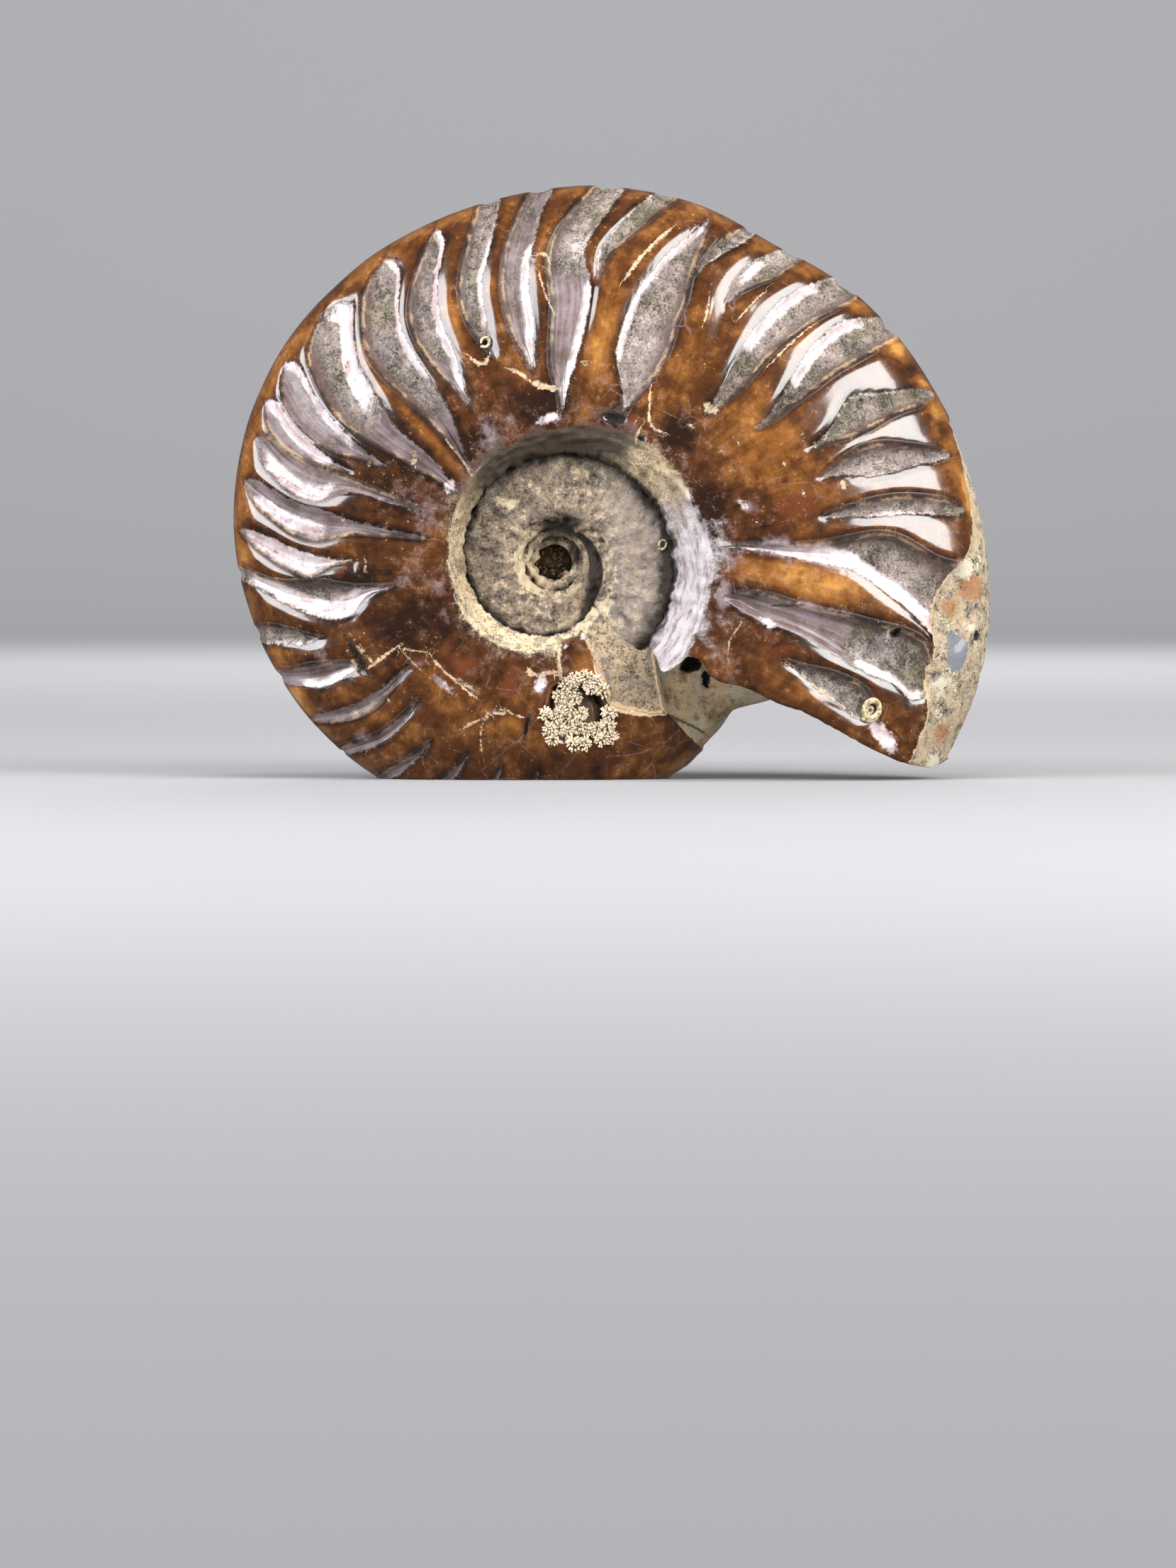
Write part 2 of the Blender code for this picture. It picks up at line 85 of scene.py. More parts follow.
# Furrows between the ribs, from the mouth backwards. Each reaches from the place foot to the place top,
# is so many millimetres deep, and has a pearly lip: (side, start and end in mm from that side's edge,
# strength, lowest and highest place), on the younger side for -1 and on the older for 1. The lip is nacre
# on the wall that faces a soft box, and its white is partly a painted reflection of that box. Its floor is
# gritty by the share grit above the place grit_from and satin elsewhere. Edges are (place, younger angle,
# older angle).
Furrow = namedtuple("Furrow", "foot top depth lip grit grit_from edges")
FURROWS = (
    Furrow(0.31, 0.68, 0.8, (-1, 0.0, 0.6, 0.5, 0.3, 0.7), 0.9, 0.0, (
        (0.3, -23.8, -22.8), (0.4, -25.7, -22.2), (0.5, -26.3, -21.8), (0.6, -27.4, -22.1),
        (0.68, -27.6, -23.5), (1.0, -26.6, -24.5))),
    Furrow(0.04, 0.83, 1.2, (-1, 0.1, 1.8, 1.0, 0.54, 0.82), 1.0, 0.5, (
        (0.05, -16.5, -7.0), (0.3, -16.5, -10.0), (0.5, -18.9, -10.6), (0.6, -19.9, -11.0),
        (0.7, -19.9, -11.2), (0.78, -21.8, -12.6), (0.83, -22.4, -15.0), (1.0, -23.0, -18.0))),
    Furrow(0.02, 0.93, 1.2, (-1, 0.0, 3.4, 1.0, 0.04, 0.85), 1.0, 0.25, (
        (0.03, 4.6, 5.6), (0.1, 3.9, 5.6), (0.2, 2.4, 4.4), (0.3, 0.7, 3.8), (0.4, -0.7, 4.0),
        (0.5, -1.9, 4.6), (0.6, -5.4, 5.0), (0.7, -8.0, 3.4), (0.8, -11.5, 0.2), (0.93, -12.5, -0.8))),
    Furrow(0.42, 0.93, 0.8, (-1, 0.0, 0.8, 0.5, 0.5, 0.9), 0.7, 0.3, (
        (0.45, 8.2, 10.6), (0.6, 7.9, 10.8), (0.7, 7.7, 10.7), (0.8, 7.1, 9.7), (0.9, 6.3, 8.4),
        (1.0, 5.2, 7.2))),
    Furrow(0.46, 0.94, 0.9, (-1, 0.0, 0.6, 0.4, 0.5, 0.9), 0.8, 0.3, (
        (0.47, 16.2, 18.6), (0.5, 16.1, 19.4), (0.6, 15.2, 20.1), (0.7, 14.6, 20.0), (0.8, 14.8, 18.2),
        (0.9, 14.5, 16.2), (1.0, 13.8, 15.6))),
    Furrow(0.47, 0.99, 1.0, (1, 0.0, 0.7, 0.5, 0.5, 0.9), 0.9, 0.3, (
        (0.48, 23.2, 24.2), (0.5, 23.1, 24.8), (0.6, 23.0, 26.9), (0.7, 23.0, 29.3), (0.8, 23.6, 27.5),
        (0.9, 23.3, 26.0), (1.0, 22.5, 25.0))),
    Furrow(0.34, 1.05, 1.1, (1, 0.0, 2.0, 1.0, 0.55, 0.93), 0.9, 0.3, (
        (0.36, 32.0, 34.4), (0.4, 32.2, 34.9), (0.5, 33.6, 36.3), (0.6, 33.7, 38.3), (0.7, 34.1, 39.7),
        (0.8, 33.8, 40.2), (0.9, 33.4, 39.6), (1.0, 33.0, 36.4))),
    Furrow(0.24, 1.05, 1.2, (1, 0.0, 1.9, 1.0, 0.55, 0.94), 1.0, 0.2, (
        (0.25, 42.8, 45.8), (0.3, 42.4, 46.3), (0.4, 42.7, 47.0), (0.5, 43.6, 48.2), (0.6, 43.9, 49.1),
        (0.7, 43.5, 49.4), (0.8, 43.0, 48.9), (0.9, 41.9, 47.9), (1.0, 40.8, 45.4))),
    Furrow(0.68, 1.05, 0.7, (1, 0.3, 2.2, 1.0, 0.78, 0.92), 1.0, 0.0, (
        (0.1, 50.5, 52.0), (0.4, 51.5, 53.0), (0.7, 55.0, 57.8), (0.75, 54.6, 58.4), (0.83, 53.0, 57.6),
        (0.94, 51.2, 55.6), (1.0, 50.4, 53.6))),
    Furrow(0.73, 1.05, 0.8, (-1, 0.0, 0.5, 0.5, 0.75, 1.0), 0.8, 0.3, (
        (0.1, 54.0, 56.0), (0.4, 57.0, 59.0), (0.74, 63.0, 64.6), (0.8, 61.9, 64.1), (0.9, 60.1, 62.8),
        (1.0, 58.2, 60.2))),
    Furrow(0.09, 0.96, 1.2, (1, 0.0, 1.0, 1.0, 0.27, 0.95), 1.0, 0.05, (
        (0.1, 61.8, 68.8), (0.2, 61.7, 71.0), (0.3, 61.8, 73.4), (0.4, 61.8, 73.8), (0.5, 63.0, 73.5),
        (0.6, 63.3, 72.6), (0.7, 64.5, 70.8), (0.8, 65.0, 69.0), (0.9, 65.2, 66.7), (0.96, 65.4, 66.0))),
    Furrow(0.6, 1.05, 0.9, (1, 0.0, 0.5, 0.5, 0.62, 1.0), 0.8, 0.6, (
        (0.6, 81.0, 82.0), (0.65, 80.4, 82.7), (0.7, 79.8, 82.5), (0.75, 78.6, 81.6), (0.8, 76.8, 80.1),
        (0.85, 75.3, 78.7), (0.9, 74.0, 77.8), (1.0, 70.8, 74.6))),
    Furrow(0.07, 1.05, 1.0, (-1, 0.0, 1.2, 1.0, 0.08, 0.6), 0.8, 0.6, (
        (0.08, 86.2, 87.6), (0.1, 85.9, 88.4), (0.2, 84.5, 90.4), (0.3, 83.4, 91.0), (0.4, 82.8, 90.8),
        (0.5, 82.1, 90.3), (0.6, 82.6, 90.8), (0.7, 84.8, 91.2), (0.8, 83.3, 89.8), (0.9, 81.1, 86.9),
        (1.0, 79.0, 83.8))),
    Furrow(0.26, 1.05, 1.1, (-1, 0.0, 1.5, 1.0, 0.28, 0.78), 0.5, 0.5, (
        (0.27, 95.6, 97.0), (0.3, 95.3, 98.4), (0.4, 94.9, 100.3), (0.5, 95.1, 100.8), (0.6, 95.4, 101.0),
        (0.7, 94.9, 100.0), (0.8, 93.4, 98.5), (0.9, 92.3, 96.1), (1.0, 89.8, 93.8))),
    Furrow(0.37, 1.05, 1.0, (-1, 0.0, 1.0, 0.9, 0.5, 0.85), 0.8, 0.4, (
        (0.38, 105.6, 107.6), (0.45, 105.3, 109.6), (0.6, 105.4, 109.9), (0.7, 104.2, 109.0),
        (0.8, 101.6, 106.6), (0.9, 100.0, 104.2), (1.0, 98.3, 101.8))),
    Furrow(0.24, 0.96, 1.1, (-1, 0.0, 1.4, 1.0, 0.3, 0.95), 0.6, 0.4, (
        (0.26, 117.5, 119.5), (0.3, 116.6, 120.5), (0.4, 115.8, 121.3), (0.5, 115.5, 121.8),
        (0.6, 115.3, 121.8), (0.7, 113.8, 120.4), (0.8, 111.4, 116.9), (0.9, 108.8, 112.6),
        (1.0, 107.8, 110.4))),
    Furrow(0.02, 0.95, 1.3, (-1, 0.0, 1.1, 1.0, 0.45, 0.95), 0.9, 0.3, (
        (0.03, 131.2, 133.4), (0.1, 129.0, 131.9), (0.2, 126.2, 131.3), (0.3, 124.6, 131.5),
        (0.4, 124.3, 132.0), (0.5, 124.2, 132.5), (0.6, 124.0, 132.6), (0.7, 122.8, 131.6),
        (0.8, 120.1, 128.9), (0.9, 117.4, 125.0), (1.0, 116.0, 120.0))),
    Furrow(0.02, 0.95, 1.2, (-1, 0.2, 3.8, 1.0, 0.55, 0.95), 0.8, 0.45, (
        (0.03, 142.5, 146.0), (0.1, 140.3, 145.6), (0.3, 140.0, 145.9), (0.4, 140.0, 146.4),
        (0.5, 137.9, 147.0), (0.6, 135.8, 146.7), (0.7, 134.2, 145.0), (0.8, 131.0, 142.7),
        (0.9, 127.3, 140.0), (1.0, 125.0, 137.0))),
    Furrow(0.36, 0.95, 1.0, (-1, 0.0, 1.6, 1.0, 0.52, 0.95), 0.4, 0.4, (
        (0.38, 149.6, 151.6), (0.5, 149.2, 152.6), (0.6, 147.8, 153.6), (0.7, 146.6, 153.3),
        (0.8, 144.5, 151.9), (0.9, 142.1, 149.0), (1.0, 139.5, 145.0))),
    Furrow(0.5, 0.95, 0.8, (-1, 0.0, 2.2, 1.0, 0.58, 0.95), 0.2, 0.0, (
        (0.53, 155.5, 157.0), (0.6, 154.8, 157.8), (0.7, 153.9, 158.0), (0.8, 152.7, 157.1),
        (0.9, 149.8, 155.4), (1.0, 146.5, 153.5))),
    Furrow(0.14, 0.94, 0.8, (1, 0.3, 3.2, 0.8, 0.55, 0.9), 0.4, 0.5, (
        (0.15, 158.6, 160.2), (0.3, 158.4, 160.4), (0.45, 158.4, 161.0), (0.55, 158.2, 164.5),
        (0.6, 158.1, 166.4), (0.7, 158.3, 166.4), (0.8, 157.6, 164.2), (0.9, 155.9, 161.8),
        (1.0, 154.0, 159.0))),
    Furrow(0.1, 0.95, 0.9, (-1, 2.0, 5.0, 0.8, 0.55, 0.93), 0.3, 0.5, (
        (0.1, 168.8, 170.6), (0.3, 169.0, 171.3), (0.45, 168.6, 172.2), (0.52, 168.0, 173.8),
        (0.6, 167.4, 175.0), (0.7, 167.2, 174.4), (0.8, 166.0, 171.9), (0.9, 164.6, 169.2),
        (1.0, 162.0, 166.5))),
    Furrow(0.44, 0.97, 0.9, (-1, 0.0, 4.5, 0.85, 0.5, 0.95), 0.1, 0.0, (
        (0.45, 179.5, 180.1), (0.5, 179.2, 180.8), (0.6, 178.5, 182.8), (0.66, 178.0, 183.8),
        (0.7, 177.6, 183.0), (0.8, 175.6, 180.6), (0.9, 174.3, 177.3), (1.0, 172.5, 175.0))),
    Furrow(0.28, 1.05, 1.2, (1, 0.2, 3.6, 1.0, 0.32, 0.95), 0.8, 0.5, (
        (0.3, 187.5, 190.0), (0.4, 187.2, 191.0), (0.45, 187.0, 193.0), (0.5, 186.7, 195.0),
        (0.6, 185.0, 195.2), (0.7, 184.8, 192.6), (0.8, 184.6, 189.6), (0.9, 183.0, 186.2),
        (1.0, 180.5, 183.5))),
    Furrow(0.7, 1.05, 1.0, (1, 0.0, 0.7, 0.7, 0.7, 1.0), 1.0, 0.0, (
        (0.71, 197.4, 198.9), (0.75, 195.8, 200.0), (0.8, 194.4, 199.6), (0.9, 192.9, 196.9),
        (1.0, 192.0, 196.0))),
    Furrow(0.6, 1.05, 0.9, (1, 0.0, 1.3, 0.9, 0.62, 0.92), 0.2, 0.0, (
        (0.62, 204.2, 211.2), (0.7, 203.6, 210.2), (0.8, 203.0, 209.0), (0.9, 202.6, 206.9),
        (1.0, 201.0, 204.5))),
    Furrow(0.4, 1.0, 0.8, (-1, 0.4, 2.0, 0.5, 0.42, 0.95), 0.3, 0.0, (
        (0.42, 215.3, 216.0), (0.5, 215.8, 217.3), (0.6, 216.2, 218.7), (0.7, 216.0, 218.9),
        (0.8, 215.0, 218.2), (0.9, 213.6, 216.2), (1.0, 212.0, 214.2))),
    Furrow(0.5, 1.05, 0.6, (1, 0.0, 0.6, 0.35, 0.5, 0.9), 0.2, 0.0, (
        (0.5, 224.4, 225.4), (0.55, 225.0, 226.8), (0.7, 225.0, 227.3), (0.8, 224.2, 226.8),
        (0.9, 222.4, 225.0), (1.0, 220.5, 223.0))),
    Furrow(0.66, 1.05, 0.6, (1, 0.0, 0.5, 0.25, 0.7, 0.9), 0.3, 0.0, (
        (0.7, 234.4, 236.8), (1.0, 230.3, 232.8))),
    Furrow(0.66, 1.05, 0.6, (1, 0.0, 0.5, 0.2, 0.7, 0.9), 0.3, 0.0, (
        (0.7, 244.4, 247.0), (1.0, 240.3, 242.8))),
    Furrow(0.68, 1.05, 0.6, (1, 0.0, 0.5, 0.2, 0.7, 0.9), 0.3, 0.0, (
        (0.7, 254.4, 257.0), (1.0, 250.3, 252.8))),
    Furrow(0.7, 1.05, 0.6, (1, 0.0, 0.5, 0.2, 0.7, 0.9), 0.3, 0.0, (
        (0.7, 264.4, 267.0), (1.0, 260.3, 262.8))),
)
OLD_WALL = 0.9 * MM  # width of a furrow's wall on the side without the lip
LIP_WALL = 1.5 * MM
RIB_CROWN = 0.35 * MM
TRACE_DEPTH = 0.22 * MM  # of the faint trough that runs on below a furrow's foot
RIM_DEPTH = 0.5 * MM  # how far the bare stone of the rim lies below the polish
PLATE_DEPTH = 0.5 * MM  # and the sandy plate
CHIP_DEPTH = 0.1 * MM
PIT_DEPTH = 0.9 * MM
LINE_RISE = 0.1 * MM  # of the pale lines
LOW_FLANK_DROP = 1.6 * MM  # of the old whorl's low flank, beside the mouth's seam
GRAIN_HEIGHT = 0.22 * MM  # of the grit in furrows and on bare stone
WAVE_HEIGHT = 0.12 * MM  # of the broad unevenness of the polish
WORN_HEIGHT = 0.25 * MM  # of the lumps where the old whorl was never polished
CREVICE_DEPTH = 0.7 * MM  # at the seam, below the umbilical wall
WELD = 0.001 * MM  # points nearer than this are one
FLANK_ROWS = 66
WALL_ROWS = 14
CELL = 0.5 * MM  # the mesh's step along the whorl
HOLLOW_AT = (277.0, 24.4 * MM)  # angle and radius of the middle of the broken hollow
HOLLOW_DEPTH = 3.2 * MM
FAR = 9.0 * MM

# The bare stone along the outer edge by the mouth begins at this place: (angle, place).
RIM = ((-34, 0.86), (-23, 0.85), (-20, 0.82), (-15, 0.80), (-9, 0.785), (-5, 0.80), (-1, 0.87), (4, 0.94),
       (14, 0.975), (22, 1.03), (30, 1.3))

# Spots on the front flank: (angle, place, half size round and half size outwards in mm, turn).
CHIPS = (
    (44.5, 0.265, 1.3, 0.8, 0.0), (33.3, 0.25, 0.6, 0.3, 0.0), (32.6, 0.17, 0.8, 0.35, 0.0),
    (26.0, 0.46, 0.55, 0.3, 20.0), (27.4, 0.465, 0.35, 0.25, 0.0), (24.0, 0.49, 0.5, 0.3, 0.0),
    (15.0, 0.52, 0.8, 0.4, 15.0), (15.4, 0.37, 0.6, 0.4, 0.0), (23.0, 0.35, 0.5, 0.25, 0.0),
    (20.7, 0.31, 0.4, 0.2, 0.0), (36.3, 0.52, 0.4, 0.2, 0.0), (44.6, 0.16, 0.45, 0.25, 0.0),
    (143.6, 0.255, 1.2, 0.4, -35.0),
    (81.0, 0.255, 0.7, 0.35, 0.0), (93.6, 0.73, 0.4, 0.3, 0.0), (181.0, 0.385, 0.9, 0.2, 0.0),
    (207.0, 0.62, 1.4, 0.25, 5.0), (205.0, 0.545, 2.4, 0.25, -4.0), (-1.8, 0.47, 0.4, 0.2, 0.0),
    (234.0, 0.275, 1.0, 0.25, 10.0), (219.0, 0.6, 0.7, 0.3, 0.0), (-5.0, 0.48, 0.5, 0.15, 0.0),
    (152.3, 0.42, 0.5, 0.3, 0.0), (160.0, 0.43, 0.6, 0.2, 0.0), (169.0, 0.48, 0.6, 0.25, 0.0),
)
# Pits and holes, painted near black as the shade inside them.
PITS = (
    (205.0, 0.583, 3.6, 0.35, 0.0), (209.3, 0.6, 1.0, 0.3, 10.0), (107.6, 0.435, 0.55, 0.5, 0.0),
    (-11.8, 0.665, 0.9, 0.7, 0.0), (-15.3, 0.605, 0.35, 0.3, 0.0), (-16.8, 0.575, 0.4, 0.3, 0.0),
    (67.2, 0.045, 1.9, 0.9, 0.0), (-10.0, 0.955, 0.9, 0.6, 0.0), (260.3, 0.43, 0.35, 1.8, 0.0),
    (286.0, 0.37, 1.0, 1.7, 10.0), (-13.5, 0.165, 0.5, 0.25, 0.0), (182.5, 0.45, 0.5, 0.25, 0.0),
    (195.0, 0.02, 0.6, 0.2, 0.0), (55.0, 0.0, 0.8, 0.6, 0.0),
)
PEARLS = (
    (-27.9, 0.73, 1.2, 3.2, 22.0), (-12.3, 0.635, 0.6, 0.3, 0.0),
    (263.5, 0.17, 0.9, 1.3, 0.0), (91.5, 0.045, 1.6, 0.7, 0.0), (228.0, 0.34, 1.2, 0.3, 10.0),
    (17.0, 0.15, 1.0, 0.5, 0.0), (144.5, 0.06, 1.1, 0.8, 0.0), (-15.9, 0.21, 0.7, 1.3, 20.0),
)

# Thin lines on the front flank: (half width in mm, tone from 0 dark to 1 cream, ((angle, place), ...)).
LINES = (
    (0.16, 0.9, ((240.0, 0.315), (236.0, 0.305), (232.0, 0.285), (225.0, 0.28), (215.0, 0.262))),
    (0.10, 0.7, ((219.0, 0.36), (214.0, 0.365), (209.0, 0.372))),
    (0.20, 0.8, ((252.6, 0.36), (248.0, 0.37), (243.0, 0.46), (241.5, 0.5))),
    (0.12, 0.8, ((249.5, 0.62), (247.0, 0.52), (246.0, 0.45), (247.5, 0.37))),
    (0.14, 1.0, ((42.6, 0.77), (42.7, 0.65), (42.5, 0.55))),
    (0.13, 1.0, ((52.2, 0.78), (52.6, 0.70), (52.9, 0.62))),
    (0.18, 1.0, ((59.4, 0.65), (58.6, 0.60), (57.8, 0.55))),
    (0.12, 0.0, ((57.0, 0.625), (55.5, 0.60), (54.0, 0.615))),
    (0.20, 1.0, ((61.5, 0.22), (58.8, 0.15), (56.5, 0.09), (53.0, 0.065), (50.0, 0.072))),
    (0.13, 1.0, ((93.1, 0.64), (92.0, 0.55), (90.2, 0.47))),
    (0.20, 1.0, ((93.9, 0.72), (92.0, 0.725), (91.0, 0.70), (90.9, 0.67))),
    (0.28, 1.0, ((103.4, 0.295), (101.0, 0.268), (98.3, 0.225))),
    (0.50, 1.0, ((97.4, 0.212), (94.0, 0.18), (91.0, 0.165), (88.8, 0.155))),
    (0.24, 0.9, ((209.8, 0.57), (209.2, 0.48), (208.3, 0.37))),
    (0.12, 0.8, ((209.0, 0.37), (213.5, 0.30), (216.0, 0.26))),
    (0.12, 0.0, ((-26.2, 0.68), (-26.6, 0.76), (-27.3, 0.81))),
    (0.15, 0.0, ((-10.1, 0.31), (-10.8, 0.26), (-11.5, 0.21))),
    # A painted highlight: the pale streak that a lamp above leaves on this rib.
    (0.34, 1.0, ((76.2, 0.60), (74.6, 0.69), (72.6, 0.78), (70.6, 0.86))),
    (0.30, 1.0, ((112.6, 0.405), (111.0, 0.362), (109.0, 0.35), (107.9, 0.375))),
    (0.35, 0.9, ((271.8, 0.115), (268.0, 0.11), (262.0, 0.12), (258.0, 0.11), (256.0, 0.08))),
    (0.16, 0.8, ((259.0, 0.37), (255.0, 0.36), (251.0, 0.33))),
    (0.50, 1.0, ((317.5, 0.36), (314.0, 0.42), (309.6, 0.525), (306.0, 0.64))),
    (0.22, 0.0, ((305.8, 0.65), (308.2, 0.78), (310.4, 0.90), (311.0, 0.95))),
    (0.35, 1.0, ((274.2, -0.5), (273.4, -0.2), (272.7, 0.0), (272.7, 0.14), (274.5, 0.2))),
    (0.45, 1.0, ((291.0, -0.45), (292.0, -0.2), (292.5, 0.0), (293.2, 0.12), (293.2, 0.24))),
    (0.13, 0.0, ((106.8, 0.775), (105.4, 0.75), (104.0, 0.75))),
    (0.20, 0.9, ((-24.0, 0.33), (-25.3, 0.40), (-26.2, 0.50), (-26.9, 0.58))),
    (0.14, 0.9, ((131.6, 0.20), (132.4, 0.08), (134.0, 0.0))),
    (0.22, 1.0, ((54.8, -0.25), (56.2, -0.05), (57.3, 0.05))),
    (0.10, 0.7, ((182.0, 0.60), (180.4, 0.52), (179.4, 0.44))),
    (0.10, 0.6, ((-29.0, 0.12), (-24.0, 0.10), (-18.0, 0.12))),
)

# The sandy plate beside the mouth's seam, where the outer shell has come off: (angle, place).
SANDY = (
    (296.0, -0.4), (292.0, 0.12), (291.0, 0.27), (291.5, 0.42), (295.3, 0.49), (300.1, 0.57), (306.0, 0.66),
    (309.6, 0.535), (314.0, 0.425), (319.0, 0.35), (330.0, 0.3), (330.0, -0.4),
)
# The smooth beige edge of the old whorl, which runs in under the mouth.
BEIGE = (
    (306.5, 0.66), (309.8, 0.54), (314.2, 0.43), (319.0, 0.36), (345.0, 0.3), (345.0, 1.2), (309.0, 1.2),
)

# Holes in that edge, painted near black as the shade inside them: a wedge behind the lip's flap, and a
# ragged pit below it.
VOIDS = (
    ((326.5, 0.49), (325.2, 0.60), (323.0, 0.645), (319.7, 0.633), (319.0, 0.575), (321.3, 0.55)),
    ((323.8, 0.645), (324.3, 0.67), (322.9, 0.735), (320.4, 0.80), (319.9, 0.757), (321.8, 0.70)),
)

# The broken hollow with the crystals.
HOLLOW = ((274.6, 0.14), (266.5, 0.18), (265.0, 0.32), (266.8, 0.45), (271.7, 0.55), (280.0, 0.60),
          (286.5, 0.60), (290.0, 0.52), (291.0, 0.40), (287.4, 0.24), (281.0, 0.16))

# Soft zones of colour in the polished shell, by kind: (amount, angle, place, half angle, half place).
ZONES = {
    "tone": (
        (0.55, -4.0, 0.40, 4.5, 0.28), (0.2, -2.0, 0.15, 4.0, 0.12), (0.45, 78.5, 0.33, 4.0, 0.30),
        (0.2, 74.0, 0.85, 4.0, 0.12), (0.38, 31.0, 0.32, 11.0, 0.17), (0.16, 56.0, 0.38, 5.0, 0.25),
        (0.38, 135.5, 0.20, 4.0, 0.20), (0.25, 134.5, 0.60, 2.5, 0.14), (0.30, 113.0, 0.55, 2.0, 0.15),
        (0.18, 102.5, 0.62, 2.5, 0.15), (0.30, 217.0, 0.70, 6.0, 0.14), (0.18, 228.0, 0.50, 10.0, 0.2),
        (0.15, 242.0, 0.45, 9.0, 0.2), (0.3, 255.0, 0.41, 4.0, 0.05), (0.25, -26.5, 0.40, 3.0, 0.14),
        (0.35, 177.0, 0.94, 3.0, 0.05), (0.35, 199.5, 0.94, 3.0, 0.05), (0.3, 286.0, 0.12, 6.0, 0.08),
        (-0.30, 95.0, 0.10, 9.0, 0.10), (-0.45, 67.0, 0.05, 6.0, 0.07), (-0.45, 47.0, 0.13, 6.0, 0.09),
        (-0.30, 153.0, 0.25, 10.0, 0.15), (-0.25, 205.0, 0.30, 12.0, 0.2), (-0.30, -8.0, 0.12, 2.5, 0.10),
        (-0.40, 138.0, 0.38, 2.0, 0.12), (-0.55, 184.0, 0.44, 3.0, 0.12), (-0.35, 18.0, 0.03, 16.0, 0.05),
        (-0.25, 147.8, 0.52, 1.5, 0.2), (-0.20, -15.0, 0.35, 6.0, 0.2), (-0.3, 120.0, 0.08, 10.0, 0.06),
        (0.55, 9.0, 0.96, 5.0, 0.035), (0.5, 24.0, 0.96, 4.0, 0.035), (0.6, 33.0, 0.96, 3.0, 0.035),
        (-0.5, 28.5, 0.965, 1.5, 0.03), (-0.4, 19.0, 0.96, 1.5, 0.03), (0.45, 41.5, 0.96, 2.5, 0.03),
        (0.35, 53.0, 0.96, 3.0, 0.03), (0.3, 205.0, 0.94, 3.0, 0.05),
    ),
    "red": (
        (0.8, 13.0, 0.35, 6.0, 0.15), (1.0, 230.0, 0.18, 6.0, 0.09), (0.8, 218.5, 0.18, 5.0, 0.07),
        (1.0, 250.0, 0.18, 5.0, 0.12), (1.0, 268.0, 0.20, 2.2, 0.08), (0.9, 60.0, 0.05, 4.5, 0.05),
        (0.6, 112.0, 0.25, 4.5, 0.1), (0.5, 174.0, 0.18, 6.0, 0.09), (0.6, -22.0, 0.30, 6.0, 0.2),
        (1.0, -20.8, 0.63, 0.6, 0.03), (0.7, 78.0, 0.67, 1.5, 0.03), (0.5, 286.0, 0.12, 6.0, 0.08),
        (1.0, -3.5, 0.93, 2.2, 0.05), (0.8, -7.0, 0.86, 1.8, 0.04), (0.7, -24.0, 0.93, 3.0, 0.05),
        (0.6, -30.0, 0.90, 1.5, 0.04),
    ),
    "film": (
        (0.9, -12.5, 0.36, 4.0, 0.2), (0.9, 4.0, 0.22, 5.0, 0.11), (0.8, -12.0, 0.04, 9.0, 0.05),
        (0.5, 120.0, 0.06, 12.0, 0.06), (0.6, 195.0, 0.05, 14.0, 0.05), (0.7, 193.0, 0.50, 3.0, 0.1),
        (0.45, 165.0, 0.10, 14.0, 0.08), (0.5, 238.0, 0.28, 8.0, 0.06), (0.9, 226.5, 0.34, 5.0, 0.03),
        (0.9, 263.5, 0.17, 3.0, 0.07), (0.5, 208.0, 0.10, 7.0, 0.05), (0.7, 201.0, 0.74, 3.0, 0.07),
        (0.7, 16.0, 0.15, 3.0, 0.05), (0.5, 30.0, 0.08, 12.0, 0.04), (0.6, 222.5, 0.86, 4.0, 0.09),
        (0.5, 211.5, 0.90, 5.0, 0.10), (0.6, 188.0, 0.22, 5.0, 0.09), (0.7, 249.0, 0.36, 5.0, 0.04),
        (0.4, 242.0, 0.12, 6.0, 0.06), (0.6, 116.5, 0.13, 3.0, 0.08), (0.5, 106.5, 0.2, 2.0, 0.15),
        (0.6, 70.6, 0.45, 1.0, 0.2), (1.0, -1.0, 0.90, 2.0, 0.04), (0.8, -17.5, 0.86, 2.0, 0.04),
        (0.8, -28.0, 0.95, 2.0, 0.04), (0.7, -9.0, 0.93, 1.6, 0.03),
    ),
    "blue": ((1.0, -12.8, 0.885, 3.0, 0.036),),
}


def between(stations, place):
    """Smooth value at a place among listed stations (place, value), level beyond both ends."""
    places = [station[0] for station in stations]
    values = [station[1] for station in stations]
    if place <= places[0]:
        return values[0]
    if place >= places[-1]:
        return values[-1]

    def slope(k):
        low, high = max(k - 1, 0), min(k + 1, len(places) - 1)
        return (values[high] - values[low]) / (places[high] - places[low])

    i = bisect.bisect_right(places, place) - 1
    step = places[i + 1] - places[i]
    u = (place - places[i]) / step
    rise = values[i + 1] - values[i]
    bend = (1 - u) * (slope(i) * step - rise) + u * (rise - slope(i + 1) * step)
    return values[i] + u * rise + u * (1 - u) * bend


def smooth(low, high, value):
    """0 below low, 1 above high, and an S-curve between them."""
    u = min(max((value - low) / (high - low), 0.0), 1.0)
    return u * u * (3 - 2 * u)


def tabulated(function):
    """The function of an angle, read from a table in half degrees."""
    first, step = -64.0, 0.5
    values = [function(first + step * n) for n in range(3700)]

    def look_up(angle):
        n, share = divmod((angle - first) / step, 1.0)
        return values[int(n)] * (1 - share) + values[int(n) + 1] * share

    return look_up


def outer_edge(angle):
    """Distance from the coil axis to the outer edge."""
    share = 1.0
    for middle, spread, amount in SWELLINGS:
        share += amount * math.exp(-(((angle - middle) / spread) ** 2))
    fillet = smooth(MOUTH_SEAM + TURN, OLD_CREST, angle)
    fillet *= 1 - smooth(OLD_CREST, OLD_CREST + FILLET_FADE, angle)
    return VENTER_RADIUS * 2 ** (-angle / TURN) * share + MOUTH_FILLET * fillet


